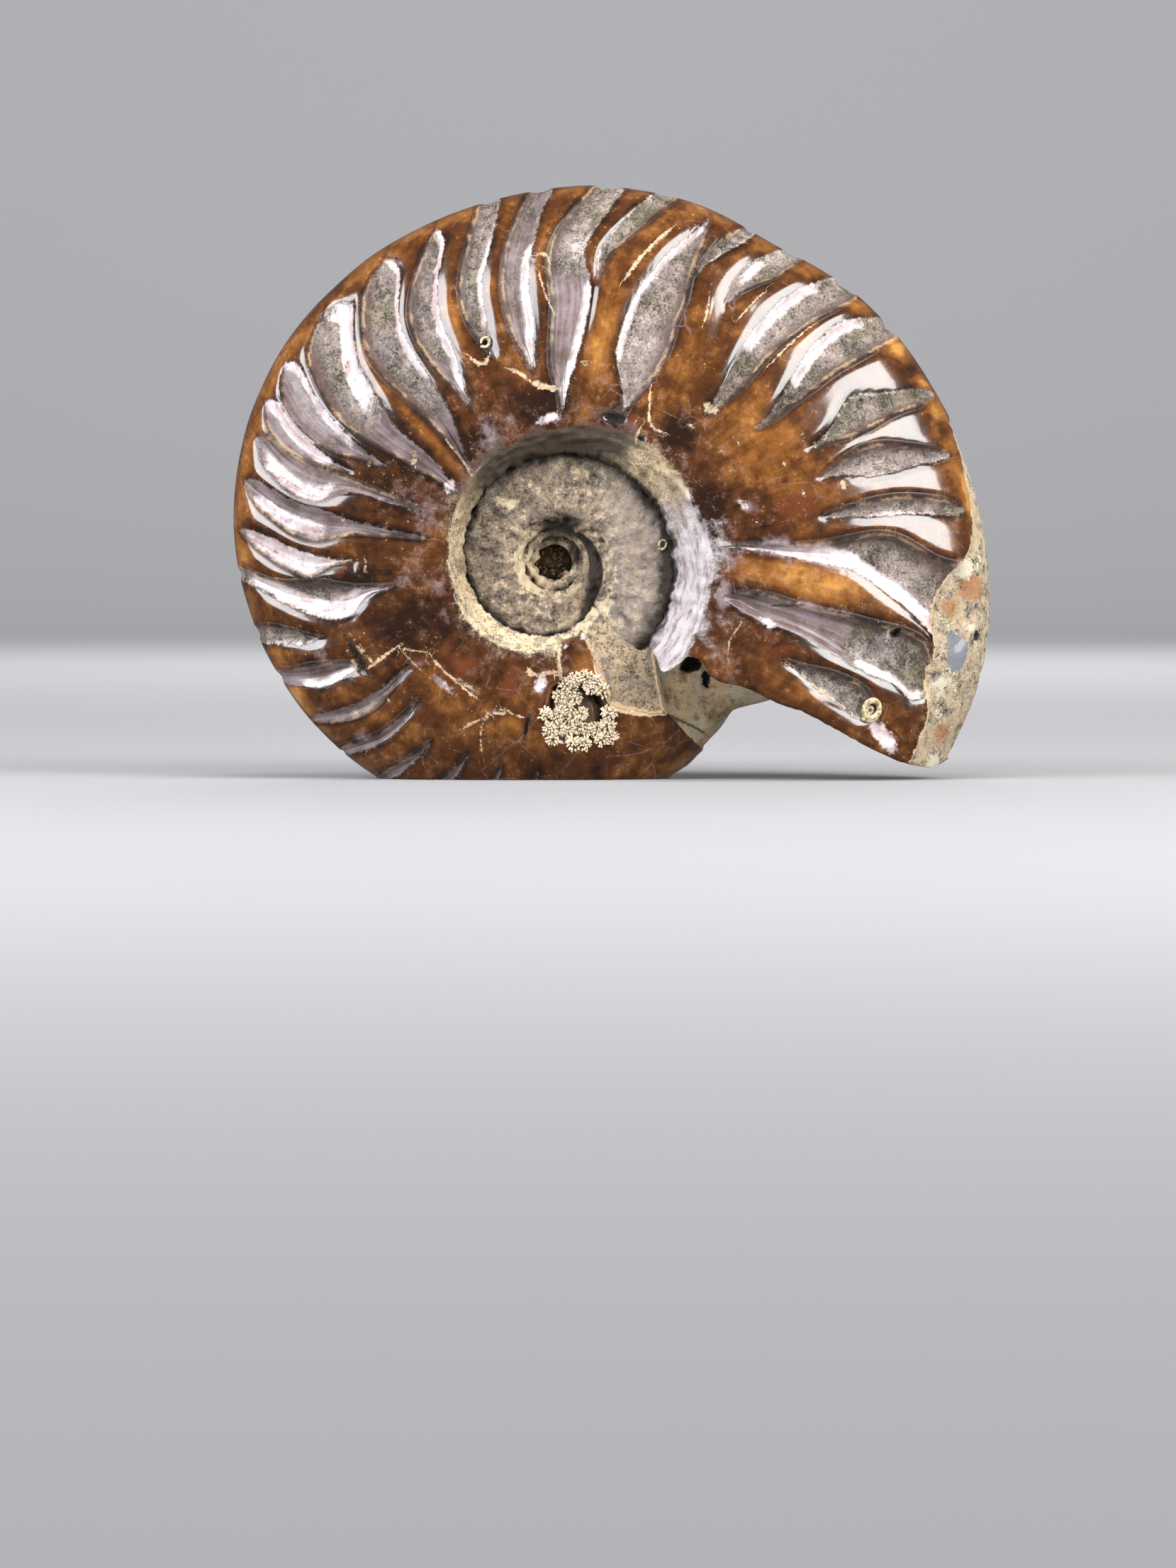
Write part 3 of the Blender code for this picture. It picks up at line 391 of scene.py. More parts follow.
venter = tabulated(outer_edge)
seam = tabulated(lambda angle: between(SEAM, angle) * MM)
shoulder = tabulated(lambda angle: between(SHOULDER, angle) * MM)
half_width = tabulated(lambda angle: between(HALF_WIDTH, angle) * MM)


def flank_height(angle, radius):
    """Height of a whorl's smooth flank above the middle plane of the coil."""
    share = (radius - shoulder(angle)) / (venter(angle) - shoulder(angle))
    return half_width(angle) * math.sqrt(max(1 - max(share, 0.0) ** 2, 0.0))


def section(angle, place):
    """Point (radius, height) and outward normal of the smooth section of a whorl."""
    width = half_width(angle)
    if place < 0:
        reach = shoulder(angle) - seam(angle)
        foot = flank_height(angle + TURN, seam(angle))
        rise = width - foot
        inward = -place
        up = (1 - inward**WALL_ROUNDNESS) ** (1 / WALL_ROUNDNESS)
        normal = Vector((-rise * inward, reach)).normalized()
        return Vector((shoulder(angle) - reach * inward, foot + rise * up)), normal
    reach = venter(angle) - shoulder(angle)
    cosine = math.sqrt(max(1 - place * place, 0.0))
    normal = Vector((place * width, cosine * reach)).normalized()
    return Vector((shoulder(angle) + reach * place, width * cosine)), normal


def to_world(angle, point, side):
    turn = math.radians(angle)
    return AXIS + Vector((point[0] * math.cos(turn), -side * point[1], point[0] * math.sin(turn)))


def flank_places(count):
    """Places from the shoulder to the outer edge, at even steps along a whorl's section."""
    steps = [math.sin(math.radians(90 * k / 400)) for k in range(401)]
    lengths = [0.0]
    for k in range(400):
        a, b = math.radians(90 * k / 400), math.radians(90 * (k + 1) / 400)
        run = math.sin(b) - math.sin(a)
        drop = 0.4 * (math.cos(a) - math.cos(b))
        lengths.append(lengths[-1] + math.hypot(run, drop))
    places = []
    for j in range(count + 1):
        wanted = lengths[-1] * j / count
        k = min(bisect.bisect_left(lengths, wanted), 400)
        places.append(steps[k])
    return places


def furrow_edges(place):
    """Younger and older edge of every furrow at a place, with the corners of its stations rounded."""
    edges = []
    for furrow in FURROWS:
        young = old = 0.0
        for shift in (-0.035, 0.0, 0.035):
            young += between([(row[0], row[1]) for row in furrow.edges], place + shift) / 3
            old += between([(row[0], row[2]) for row in furrow.edges], place + shift) / 3
        edges.append((young, old))
    return edges


def mesh_lines():
    """Lines of the mesh across the flank, which lean with the ribs: (guide before it, share of the gap).

    The guides are the lip, the middle line of each furrow, and the tube's old end.
    """
    middles = [between(LIP, 0.7)] + [sum(pair) / 2 for pair in furrow_edges(0.7)] + [OLD_END]
    lines = []
    for k in range(len(middles) - 1):
        run = math.radians(middles[k + 1] - middles[k]) * 0.72 * venter(middles[k])
        count = max(round(run / CELL), 2)
        lines += [(k, n / count) for n in range(count)]
    return lines + [(len(middles) - 2, 1.0)]


def spot_distance(spots, angle, place, radius, reach):
    """Signed distance inside the nearest spot of a list, negative outside."""
    best = -FAR
    for spot_angle, spot_place, half_round, half_out, turn in spots:
        across = math.radians(angle - spot_angle) * radius
        along = (place - spot_place) * reach
        if abs(across) + abs(along) > FAR:
            continue
        tilt = math.radians(turn)
        u = (across * math.cos(tilt) + along * math.sin(tilt)) / (half_round * MM)
        v = (along * math.cos(tilt) - across * math.sin(tilt)) / (half_out * MM)
        best = max(best, (1 - math.hypot(u, v)) * min(half_round, half_out) * MM)
    return best


def to_segment(angle, place, start, end, radius, reach):
    """Distance to a segment of the flank, the side of it, and the share of its length passed."""
    along = Vector((math.radians(end[0] - start[0]) * radius, (end[1] - start[1]) * reach))
    here = Vector((math.radians(angle - start[0]) * radius, (place - start[1]) * reach))
    share = min(max(here.dot(along) / along.length_squared, 0.0), 1.0)
    side = 1 if along.x * here.y - along.y * here.x > 0 else -1
    return (here - along * share).length, side, share


def area_distance(corners, angle, place, radius, reach):
    """Signed distance inside an area of the flank with straight sides, negative outside."""
    inside = False
    best = FAR
    for start, end in zip(corners, corners[1:] + corners[:1]):
        best = min(best, to_segment(angle, place, start, end, radius, reach)[0])
        if (start[1] > place) != (end[1] > place):
            crossing = start[0] + (place - start[1]) / (end[1] - start[1]) * (end[0] - start[0])
            inside ^= crossing > angle
    return best if inside else -best


# What each vertex tells its material; lengths are in metres and are negative outside their area.
MARKS = (
    "furrow", "lean", "lip", "grit", "rim", "place", "angle", "chip", "pit", "pearl", "sand", "beige",
    "tone", "red", "film", "blue", "line", "line_near", "line_tone", "rib", "stone",
)
LINE_BOXES = [
    (min(p[0] for p in row[2]) - 3, max(p[0] for p in row[2]) + 3,
     min(p[1] for p in row[2]) - 0.08, max(p[1] for p in row[2]) + 0.08) for row in LINES
]


class WhorlPoint:
    """A point on the body whorl, with what its finish needs to know about it."""

    def __init__(self, guide, share, angle, place, side, edges):
        self.rib = guide + share
        self.side = side
        self.angle = angle
        self.place = place
        point, normal = section(angle, place)
        self.radius = point[0]
        self.reach = venter(angle) - shoulder(angle)
        self.furrow = self.chip = self.pit = self.pearl = self.sand = self.beige = -FAR
        self.lean = self.lip = self.grit = self.stone = 0.0
        self.tone = self.red = self.film = self.blue = 0.0
        self.line = FAR
        self.line_near = self.line_tone = 0.0
        sink = max([self.cut_furrow(k, edges) for k in (guide - 1, guide) if 0 <= k < len(FURROWS)])
        crown = smooth(0.1, 0.5, place) * (1 - smooth(0.9, 1.0, place)) if -34 < angle < 285 else 0.0
        sink -= RIB_CROWN * crown * smooth(0.0, -1.6 * MM, self.furrow)
        self.rim = (place - between(RIM, angle)) * self.reach if angle < 60 else -FAR
        sink += RIM_DEPTH * smooth(-0.1 * MM, 0.5 * MM, self.rim)
        if side == FRONT:
            sink += self.look_up_front()
        if angle > 280 and (side == FRONT or place > 0.6):
            self.beige = area_distance(BEIGE, angle, place, self.radius, self.reach)
            sink += (1.2 - 0.7 * smooth(0.8, 1.0, place)) * MM * smooth(0.0, 0.6 * MM, self.beige)
        if place < -0.5:
            jag = 0.35 + noise.noise(Vector((angle / 6.0, side, 0.0)))
            jag += 0.5 * noise.noise(Vector((angle / 2.0, side, 5.0)))
            point = point - Vector((max(jag, 0.0) * 0.6 * MM * smooth(-0.5, -1.0, place), 0.0))
        world = to_world(angle, point, side)
        rough = smooth(0.0, 0.5 * MM, max(self.rim, self.sand, self.furrow if self.grit > 0.4 else -FAR))
        sink -= GRAIN_HEIGHT * rough * noise.noise(world / (1.2 * MM))
        sink -= WAVE_HEIGHT * noise.noise(world / (8.0 * MM))
        if place < 0.05:
            sink += self.shape_wall(world)
        sink += LOW_FLANK_DROP * smooth(309.0, 318.0, angle) * smooth(0.34, 0.28, place)
        worn = smooth(285.0, 305.0, angle)
        sink -= WORN_HEIGHT * worn * noise.noise(world / (2.2 * MM))
        self.world = to_world(angle, point - normal * sink, side)

    def cut_furrow(self, k, edges):
        """Depth of furrow k here."""
        furrow = FURROWS[k]
        young, old = edges[k]
        from_young = math.radians(self.angle - young) * self.radius
        from_old = math.radians(old - self.angle) * self.radius
        half = (from_young + from_old) / 2
        off = abs(from_young - from_old) / 2
        from_foot = (self.place - furrow.foot) * self.reach
        from_top = (furrow.top - self.place) * self.reach
        taper = min(max(from_foot, 0.0) / (7.0 * MM), 1.0) ** 0.6
        taper *= min(max(from_top, 0.0) / (2.5 * MM), 1.0) ** 0.5
        inside = half * taper - off + min(from_foot, from_top, 0.0)
        trough = smooth(0.06, 0.2, self.place) * smooth(furrow.foot + 0.12, furrow.foot - 0.02, self.place)
        trough *= math.exp(-((off / (1.6 * MM)) ** 2))
        if inside > self.furrow:
            side, start, end, strength, low, high = furrow.lip
            self.furrow = inside
            self.lean = -side * (from_young - from_old) / (2 * half)
            from_edge = (from_young if side < 0 else from_old) - half * (1 - taper)
            self.lip = strength * smooth(low - 0.04, low + 0.04, self.place)
            self.lip *= smooth(high + 0.04, high - 0.04, self.place)
            if start > 0:
                self.lip *= smooth((start - 0.4) * MM, (start + 0.4) * MM, from_edge)
            self.lip *= smooth((end + 0.7) * MM, max(0.35 * end, end - 0.9) * MM, from_edge)
            self.grit = furrow.grit * smooth(furrow.grit_from - 0.1, furrow.grit_from + 0.1, self.place)
        if inside <= 0:
            return TRACE_DEPTH * trough
        wall = LIP_WALL if (from_young < from_old) == (furrow.lip[0] < 0) else OLD_WALL
        depth = furrow.depth * MM * (1 - 0.6 * smooth(0.86, 1.0, self.place))
        return depth * smooth(0.0, min(wall, 0.8 * half), inside) + TRACE_DEPTH * trough

    def look_up_front(self):
        """Spots, areas, lines and soft zones of the front flank; returns how far they sink it."""
        angle, place, radius, reach = self.angle, self.place, self.radius, self.reach
        self.chip = spot_distance(CHIPS, angle, place, radius, reach)
        self.pit = spot_distance(PITS, angle, place, radius, reach)
        self.pearl = spot_distance(PEARLS, angle, place, radius, reach)
        sink = CHIP_DEPTH * smooth(-0.1 * MM, 0.3 * MM, self.chip)
        if angle > 280:
            for corners in VOIDS:
                self.pit = max(self.pit, area_distance(corners, angle, place, radius, reach))
            self.sand = area_distance(SANDY, angle, place, radius, reach)
            sink += PLATE_DEPTH * smooth(0.0, 0.4 * MM, self.sand)
        sink += PIT_DEPTH * smooth(-0.2 * MM, 0.5 * MM, self.pit)
        for (width, tone, points), (left, right, low, high) in zip(LINES, LINE_BOXES):
            if not (left < angle < right and low < place < high):
                continue
            for n in range(len(points) - 1):
                away, turn, share = to_segment(angle, place, points[n], points[n + 1], radius, reach)
                if away < abs(self.line):
                    passed = (n + share) / (len(points) - 1)
                    self.line = away * turn
                    self.line_tone = tone
                    fade = smooth(0.0, 0.15, passed) * smooth(1.0, 0.85, passed)
                    self.line_near = width * (0.35 + 0.65 * fade) * smooth(1.3 * MM, 0.8 * MM, away)
        if self.line_tone > 0.5:
            sink -= LINE_RISE * smooth(0.4 * MM, 0.0, abs(self.line))
        for kind, zones in ZONES.items():
            for amount, at, out, half_round, half_out in zones:
                away = ((angle - at) / half_round) ** 2 + ((place - out) / half_out) ** 2
                if away < 5:
                    setattr(self, kind, getattr(self, kind) + amount * math.exp(-away))
        if 255 < angle < 300:
            inside = area_distance(HOLLOW, angle, place, radius, reach)
            sink += HOLLOW_DEPTH * smooth(0.0, 2.4 * MM, inside)
        return sink

    def shape_wall(self, world):
        """Rough layers of the umbilical wall, parallel to the seam, with a crevice at the seam."""
        on_wall = smooth(0.04, -0.12, self.place)
        layers = noise.noise(Vector((self.place * 7.0, self.angle / 14.0, 2.0 * self.side)))
        lumps = noise.noise(world / (1.5 * MM))
        rise = on_wall * (0.5 * layers + 0.42 * lumps) * MM
        rise += on_wall * 0.6 * MM * smooth(-34.0, -42.0, self.angle) * math.sin(9.0 * self.place)
        return CREVICE_DEPTH * smooth(-0.8, -1.0, self.place) - rise * smooth(-1.0, -0.9, self.place)


def mark_layers(bm):
    return {name: bm.verts.layers.float.new(name) for name in MARKS}


def open_loops(bm):
    """The open boundary loops of a mesh, each a list of edges."""
    loops = []
    left = {edge for edge in bm.edges if edge.is_boundary}
    while left:
        loop, reach = [], [left.pop()]
        while reach:
            edge = reach.pop()
            loop.append(edge)
            for vert in edge.verts:
                found = [other for other in vert.link_edges if other in left]
                left.difference_update(found)
                reach += found
        loops.append(loop)
    return loops


def grind_flat(bm):
    """Cut the underside level, where the fossil stands."""
    every = [*bm.verts, *bm.edges, *bm.faces]
    bmesh.ops.bisect_plane(
        bm, geom=every, dist=0.002 * MM, plane_co=(0, 0, 0), plane_no=(0, 0, 1), clear_inner=True
    )
    for loop in open_loops(bm):
        bmesh.ops.edgeloop_fill(bm, edges=loop)


def finish_piece(name, bm, material, node):
    """Make the object and tie it to the frame."""
    bm.normal_update()
    bmesh.ops.recalc_face_normals(bm, faces=bm.faces)
    mesh = bpy.data.meshes.new(name)
    bm.to_mesh(mesh)
    bm.free()
    mesh.shade_smooth()
    mesh.materials.append(material)
    piece = bpy.data.objects.new(name, mesh)
    bpy.context.scene.collection.objects.link(piece)
    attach(piece, "root")
    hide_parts(node)


def build_body_whorl(material):
    places = [-1 + k / WALL_ROWS for k in range(WALL_ROWS)] + flank_places(FLANK_ROWS)
    rows = [(place, FRONT) for place in places] + [(place, BACK) for place in reversed(places[:-1])]
    lines = mesh_lines()
    edges = {place: furrow_edges(place) for place in places}
    guides = {}
    for place in places:
        guides[place] = [between(LIP, place), *(sum(pair) / 2 for pair in edges[place]), OLD_END]
    bm = bmesh.new()
    layers = mark_layers(bm)
    row_of = bm.verts.layers.int.new("row")
    count = len(lines) - 1
    grid = bmesh.ops.create_grid(bm, x_segments=count, y_segments=len(rows), size=0.5)
    for vert in grid["verts"]:
        guide, share = lines[round((vert.co.x + 0.5) * count)]
        row = round((vert.co.y + 0.5) * len(rows)) % len(rows)
        place, side = rows[row]
        start, end = guides[place][guide : guide + 2]
        point = WhorlPoint(guide, share, start + share * (end - start), place, side, edges[place])
        vert.co = point.world
        vert[row_of] = row
        for name in MARKS:
            vert[layers[name]] = getattr(point, name)
    bmesh.ops.remove_doubles(bm, verts=bm.verts, dist=WELD)
    for loop in open_loops(bm):
        if min(vert[layers["angle"]] for edge in loop for vert in edge.verts) < 0:
            close_mouth(bm, loop, rows, layers, row_of)
        else:
            bmesh.ops.edgeloop_fill(bm, edges=loop)
    bm.verts.layers.int.remove(bm.verts.layers.int["row"])
    grind_flat(bm)
    finish_piece("body_whorl", bm, material, "ammonite")


# Rings that close the mouth: how far each lies inside the lip and behind it, and how far it has gone
# from the section's outline to its middle plane.
LIP_RINGS = ((0.25, -0.12, 0.0), (0.6, -0.05, 0.0), (0.85, 0.25, 0.0), (0.95, 1.4, 0.0), (1.0, 2.6, 0.0))
STONE_RINGS = 16
STONE_RECESS = 3.0
STONE_WELD = 0.09 * MM  # joins the last ring's points where the outer edge is too thin for them


def close_mouth(bm, loop, rows, layers, row_of):
    """Round the lip of the shell, and fill the mouth behind it with stone."""
    rings = [(ring, 0.0) for ring in LIP_RINGS]
    for n in range(1, STONE_RINGS + 1):
        rings.append(((1.0, STONE_RECESS + 1.2 * (n / STONE_RINGS) ** 0.7, n / STONE_RINGS), 1.0))
    for (inside, behind, share), stone in rings:
        made = bmesh.ops.extrude_edge_only(bm, edges=loop)
        loop = [item for item in made["geom"] if isinstance(item, bmesh.types.BMEdge) and item.is_boundary]
        for vert in {vert for edge in loop for vert in edge.verts}:
            place, side = rows[vert[row_of]]
            lip = between(LIP, place)
            angle = lip + math.degrees(behind * MM / venter(lip)) * 1.3
            point, normal = section(angle, place)
            point -= normal * inside * MM
            point[1] *= 1 - share
            world = to_world(angle, point, side)
            lump = stone * 0.5 * noise.noise(world / (2.2 * MM)) + 0.15 * noise.noise(world / (0.9 * MM))
            angle += math.degrees(lump * MM / point[0])
            vert.co = to_world(angle, point, side)
            vert[layers["stone"]] = stone
            vert[layers["rim"]] = 0.5 * MM if stone else 0.0
            vert[layers["furrow"]] = -FAR
    last_ring = list({vert for edge in loop for vert in edge.verts})
    bmesh.ops.remove_doubles(bm, verts=last_ring, dist=STONE_WELD)


class Value:
    """A value in a material. Python's operators on it add Math nodes, and node() adds any other node."""

    def __init__(self, tree, socket=None):
        self.tree = tree
        self.socket = socket

    def node(self, kind, settings=(), sockets=(), output=0):
        made = self.tree.nodes.new(kind)
        for name, setting in dict(settings).items():
            setattr(made, name, setting)
        for name, value in dict(sockets).items():
            if isinstance(value, Value):
                self.tree.links.new(value.socket, made.inputs[name])
            else:
                made.inputs[name].default_value = value
        return Value(self.tree, made.outputs[output])

    def maths(self, operation, first, second=0.0):
        return self.node("ShaderNodeMath", {"operation": operation}, {0: first, 1: second})

    def __add__(self, other):
        return self.maths("ADD", self, other)

    __radd__ = __add__

    def __sub__(self, other):
        return self.maths("SUBTRACT", self, other)

    def __rsub__(self, other):
        return self.maths("SUBTRACT", other, self)

    def __mul__(self, other):
        return self.maths("MULTIPLY", self, other)

    __rmul__ = __mul__

    def __abs__(self):
        return self.maths("ABSOLUTE", self)

    def over(self, low, high):
        """0 at low, 1 at high, smooth between and level beyond; low may be the larger of the two."""
        sockets = {"Value": self, "From Min": low, "From Max": high}
        return self.node("ShaderNodeMapRange", {"interpolation_type": "SMOOTHSTEP"}, sockets)

    def mix(self, first, second):
        """The first colour where this mask is 0, the second where it is 1."""
        settings = {"data_type": "RGBA", "clamp_factor": True}
        colours = {6: first, 7: second}
        for index, colour in colours.items():
            if not isinstance(colour, Value):
                colours[index] = (*colour, 1.0)
        return self.node("ShaderNodeMix", settings, {0: self, **colours}, output=2)

    def mark(self, name):
        return self.node("ShaderNodeAttribute", {"attribute_name": name}, output="Fac")

    def mark_mm(self, name):
        return self.mark(name) * (1 / MM)

    def vector(self, x, y, z=0.0):
        return self.node("ShaderNodeCombineXYZ", {}, {"X": x, "Y": y, "Z": z})

    def grain(self, vector, size, detail=3.0, roughness=0.55):
        sockets = {"Vector": vector, "Scale": 1 / size, "Detail": detail, "Roughness": roughness}
        return self.node("ShaderNodeTexNoise", {}, sockets)

    def cells(self, vector, size, feature="F1", output="Distance"):
        sockets = {"Vector": vector, "Scale": 1 / size}
        return self.node("ShaderNodeTexVoronoi", {"feature": feature}, sockets, output)


def new_material(name):
    material = bpy.data.materials.new(name)
    material.use_nodes = True
    tree = material.node_tree
    shader = tree.nodes["Principled BSDF"]
    return material, Value(tree), shader


def connect(value, shader, name):
    value.tree.links.new(value.socket, shader.inputs[name])


def connect_relief(height, distance, shader):
    sockets = {"Strength": 1.0, "Distance": distance, "Height": height}
    connect(height.node("ShaderNodeBump", {}, sockets), shader, "Normal")


# Colours of the shell, as linear light.
DEEP_BROWN = (0.014, 0.0055, 0.0025)
BROWN = (0.055, 0.018, 0.0045)
AMBER = (0.165, 0.062, 0.013)
GOLD = (0.39, 0.185, 0.042)
RUSSET = (0.095, 0.028, 0.009)
LILAC_BROWN = (0.085, 0.052, 0.042)
LILAC = (0.24, 0.19, 0.20)
CRUST_DARK = (0.035, 0.028, 0.022)
CRUST_GREY = (0.14, 0.115, 0.095)
CRUST_BEIGE = (0.27, 0.22, 0.18)
CRUST_PALE = (0.44, 0.39, 0.37)
NACRE_PINK = (0.42, 0.31, 0.30)
NACRE_WHITE = (0.62, 0.58, 0.60)
EDGE_CREAM = (0.60, 0.42, 0.25)
WALL_CREAM = (0.52, 0.40, 0.24)
WALL_PAINTED_LIGHT = (0.66, 0.55, 0.38)
WALL_PEARL = (0.47, 0.43, 0.44)
WALL_SHADE = (0.17, 0.13, 0.09)
WALL_BROWN = (0.09, 0.055, 0.03)
WALL_PAINTED_SHADE = (0.065, 0.045, 0.03)
SAND_LIGHT = (0.43, 0.33, 0.21)
SAND_SHADE = (0.17, 0.13, 0.09)
VENTER_BEIGE = (0.55, 0.40, 0.22)
VENTER_SHADE = (0.24, 0.155, 0.08)
STONE_CREAM = (0.44, 0.34, 0.22)
STONE_GREY = (0.19, 0.165, 0.135)
STONE_WHITE = (0.60, 0.54, 0.42)
STONE_GREEN = (0.16, 0.15, 0.075)
STONE_RUST = (0.34, 0.15, 0.055)
STONE_BLUE = (0.16, 0.17, 0.19)
# Near black: painted shade inside pits and holes, and the colour of the dark thin lines.
BLACK_GAP = (0.010, 0.008, 0.006)


def shell_material():
    """Polished brown ribs, gritty or satin furrows with pearly lips, chalky wall and bare stone.

    The lips' white is partly a painted reflection, and painted shade lies beside the furrows, in the wall's
    crevice and in pits.
    """
    material, value, shader = new_material("ammonite_shell")
    spot = value.node("ShaderNodeTexCoord", output="Object")
    furrow = value.mark_mm("furrow")
    lean = value.mark("lean")
    rim = value.mark_mm("rim")
    place = value.mark("place")
    angle = value.mark("angle")
    stone = value.mark("stone")

    broad = value.grain(spot, 9.0 * MM, 2.0)
    coarse = value.grain(spot, 4.0 * MM, 3.0)
    medium = value.grain(spot, 1.8 * MM, 4.0)
    fine = value.grain(spot, 0.8 * MM, 4.0, 0.65)
    speck = value.grain(spot, 0.35 * MM, 2.0, 0.6)
    streak = value.grain(value.vector(value.mark("rib") * 11.0, place * 2.2), 1.0, 3.0, 0.6)
    layers = value.grain(value.vector(place * 8.0, angle * 0.09), 1.0, 4.0, 0.6)
    rough = value.grain(spot, 1.3 * MM, 7.0, 0.78)
    wave = (medium - 0.5) * 0.9 + (fine - 0.5) * 0.9 + (speck - 0.5) * 0.5
    soft = lean.over(-0.1, 0.7) * 0.45
    in_furrow = (furrow + wave).over(-0.18 - soft * 0.5, 0.2 + soft)

    # Ribs: brown to gold in soft clouds. Painted shade darkens them beside the furrows, and painted light
    # turns them orange towards the rim.
    tone = 0.40 + value.mark("tone") + (broad - 0.5) * 0.8 + (coarse - 0.5) * 0.9
    tone = tone + (streak - 0.5) * 0.3 + (medium - 0.5) * 0.6 + (rough - 0.5) * 0.4
    # Painted shade darkens the ribs beside the furrows, and painted light brightens them towards the rim.
    tone = tone - furrow.over(-1.6, -0.1) * 0.25 + place.over(0.90, 0.97) * 0.22
    rib = tone.over(0.05, 0.42).mix(DEEP_BROWN, BROWN)
    rib = tone.over(0.36, 0.78).mix(rib, AMBER)
    rib = tone.over(0.72, 1.15).mix(rib, GOLD)
    rib = (value.mark("red") + (medium - 0.5) * 0.8).over(0.35, 0.9).mix(rib, RUSSET)
    film = (value.mark("film") + (coarse - 0.5) * 1.1 + (fine - 0.5) * 0.7).over(0.42, 0.85)
    rib = (film * 0.65).mix(rib, LILAC)
    crack = value.cells(spot, 6.5 * MM, "DISTANCE_TO_EDGE") + (fine - 0.5) * 0.05
    crack = crack.over(0.010, 0.002) * (broad + angle.over(205, 225) * 0.1).over(0.52, 0.6)
    rib = (crack * 0.3).mix(rib, LILAC)
    rib = (speck * 0.7 + medium * 0.3).over(0.66, 0.72).mix(rib, EDGE_CREAM)
    haze = (rough * 0.6 + coarse * 0.4 + place.over(0.45, 0.0) * 0.06).over(0.54, 0.68)
    rib = (haze * 0.22).mix(rib, LILAC)
    glint = (rough * 0.5 + speck * 0.5).over(0.57, 0.66) * coarse.over(0.45, 0.55)
    rib = (glint * 0.7).mix(rib, GOLD)

    # Furrows: grit or satin floors, a pearly lip on one side and a thin cream line on the other. The lip's
    # white is partly a painted reflection of a soft box, and painted shade darkens the floor away from the
    # lip.
    grit = (value.mark("grit") + (medium - 0.5) * 0.9 + (rough - 0.5)).over(0.3, 0.7)
    tooth = rough * 0.55 + speck * 0.45
    # Painted shade: lean darkens the floor a little towards the side away from the lip.
    shade = tooth + (coarse - 0.5) * 0.35 + (broad - 0.5) * 0.25 - lean * 0.04
    floor = shade.over(0.39, 0.49).mix(CRUST_DARK, CRUST_GREY)
    floor = (shade + (medium - 0.5) * 0.3).over(0.48, 0.57).mix(floor, CRUST_BEIGE)
    floor = (broad.over(0.44, 0.60) * 0.3).mix(floor, LILAC)
    floor = ((1 - broad).over(0.54, 0.64) * 0.3).mix(floor, STONE_GREEN)
    floor = (shade - lean * 0.03).over(0.60, 0.68).mix(floor, CRUST_PALE)
    floor = ((tooth + (fine - 0.5) * 0.5).over(0.44, 0.36) * 0.8).mix(floor, CRUST_DARK)
    # Painted shade: the floor turns lilac brown towards the side away from the lip.
    floor = (lean + (medium - 0.5) * 0.8).over(0.3, 1.1).mix(floor, LILAC_BROWN)
    satin = (coarse * 0.4 + streak * 0.4 + rough * 0.2).over(0.38, 0.62).mix(LILAC_BROWN, LILAC)
    floor = grit.mix(satin, floor)
    # The lip's white is nacre, and partly a painted reflection of the soft box that its wall faces.
    pearly = value.mark("lip") + (medium - 0.5) * 0.9 + (rough - 0.5) * 0.9 + (speck - 0.5) * 0.4
    pearly = pearly.over(0.35, 1.0) * in_furrow
    pearl = (coarse * 0.6 + streak * 0.3 + fine * 0.2).over(0.44, 0.68).mix(NACRE_PINK, NACRE_WHITE)
    pearl = (streak * 0.5 + rough * 0.5).over(0.44, 0.34).mix(pearl, LILAC_BROWN)
    floor = pearly.mix(floor, pearl)
    cream_line = (lean + (fine - 0.5) * 0.8).over(0.45, 0.85) * (furrow + wave).over(0.45, 0.15)
    floor = (cream_line * coarse.over(0.44, 0.56) * 0.8).mix(floor, EDGE_CREAM)
    colour = in_furrow.mix(rib, floor)

    # Umbilical wall: rough layers, pearly by the mouth, with painted shade above and in the crevice at its
    # foot, and painted light low down.
    grey_wall = (tooth * 0.7 + layers * 0.3).over(0.42, 0.55).mix(WALL_SHADE, WALL_CREAM)
    grey_wall = (tooth * 0.5 + layers * 0.5).over(0.44, 0.37).mix(grey_wall, WALL_BROWN)
    # Painted shade: the wall is darker above the centre.
    above = (angle + (coarse - 0.5) * 30).over(50, 70) * (angle + (coarse - 0.5) * 40).over(160, 125)
    grey_wall = (coarse.over(0.50, 0.60) * 0.6).mix(grey_wall, WALL_SHADE)
    grey_wall = (above * (1.1 + (tooth - 0.5) * 3)).mix(grey_wall, WALL_PAINTED_SHADE)
    # Painted light: the wall is paler low down.
    below = angle.over(190, 215) * (tooth * 0.6 + medium * 0.4).over(0.44, 0.56)
    grey_wall = (below * 0.7).mix(grey_wall, WALL_PAINTED_LIGHT)
    pearl_wall = (layers * 0.7 + rough * 0.3).over(0.38, 0.56).mix(LILAC, WALL_PEARL)
    pearl_wall = (layers * 0.5 + fine * 0.5).over(0.42, 0.36).mix(pearl_wall, WALL_SHADE)
    wall = (angle + (coarse - 0.5) * 60).over(40, 10).mix(grey_wall, pearl_wall)
    # Painted shade in the crevice at the wall's foot.
    wall = (place + (medium - 0.5) * 0.5).over(-0.74, -0.96).mix(wall, CRUST_DARK)
    plate = angle.over(271.5, 273.5) * angle.over(293.0, 291.5)
    on_wall = 0.0 - place - plate * 0.45 + (coarse - 0.5) * 0.45
    on_wall = on_wall + (medium - 0.5) * 0.3 + (tooth - 0.5) * 0.4
    on_wall = on_wall.over(-0.02, 0.12)
    colour = on_wall.mix(colour, wall)

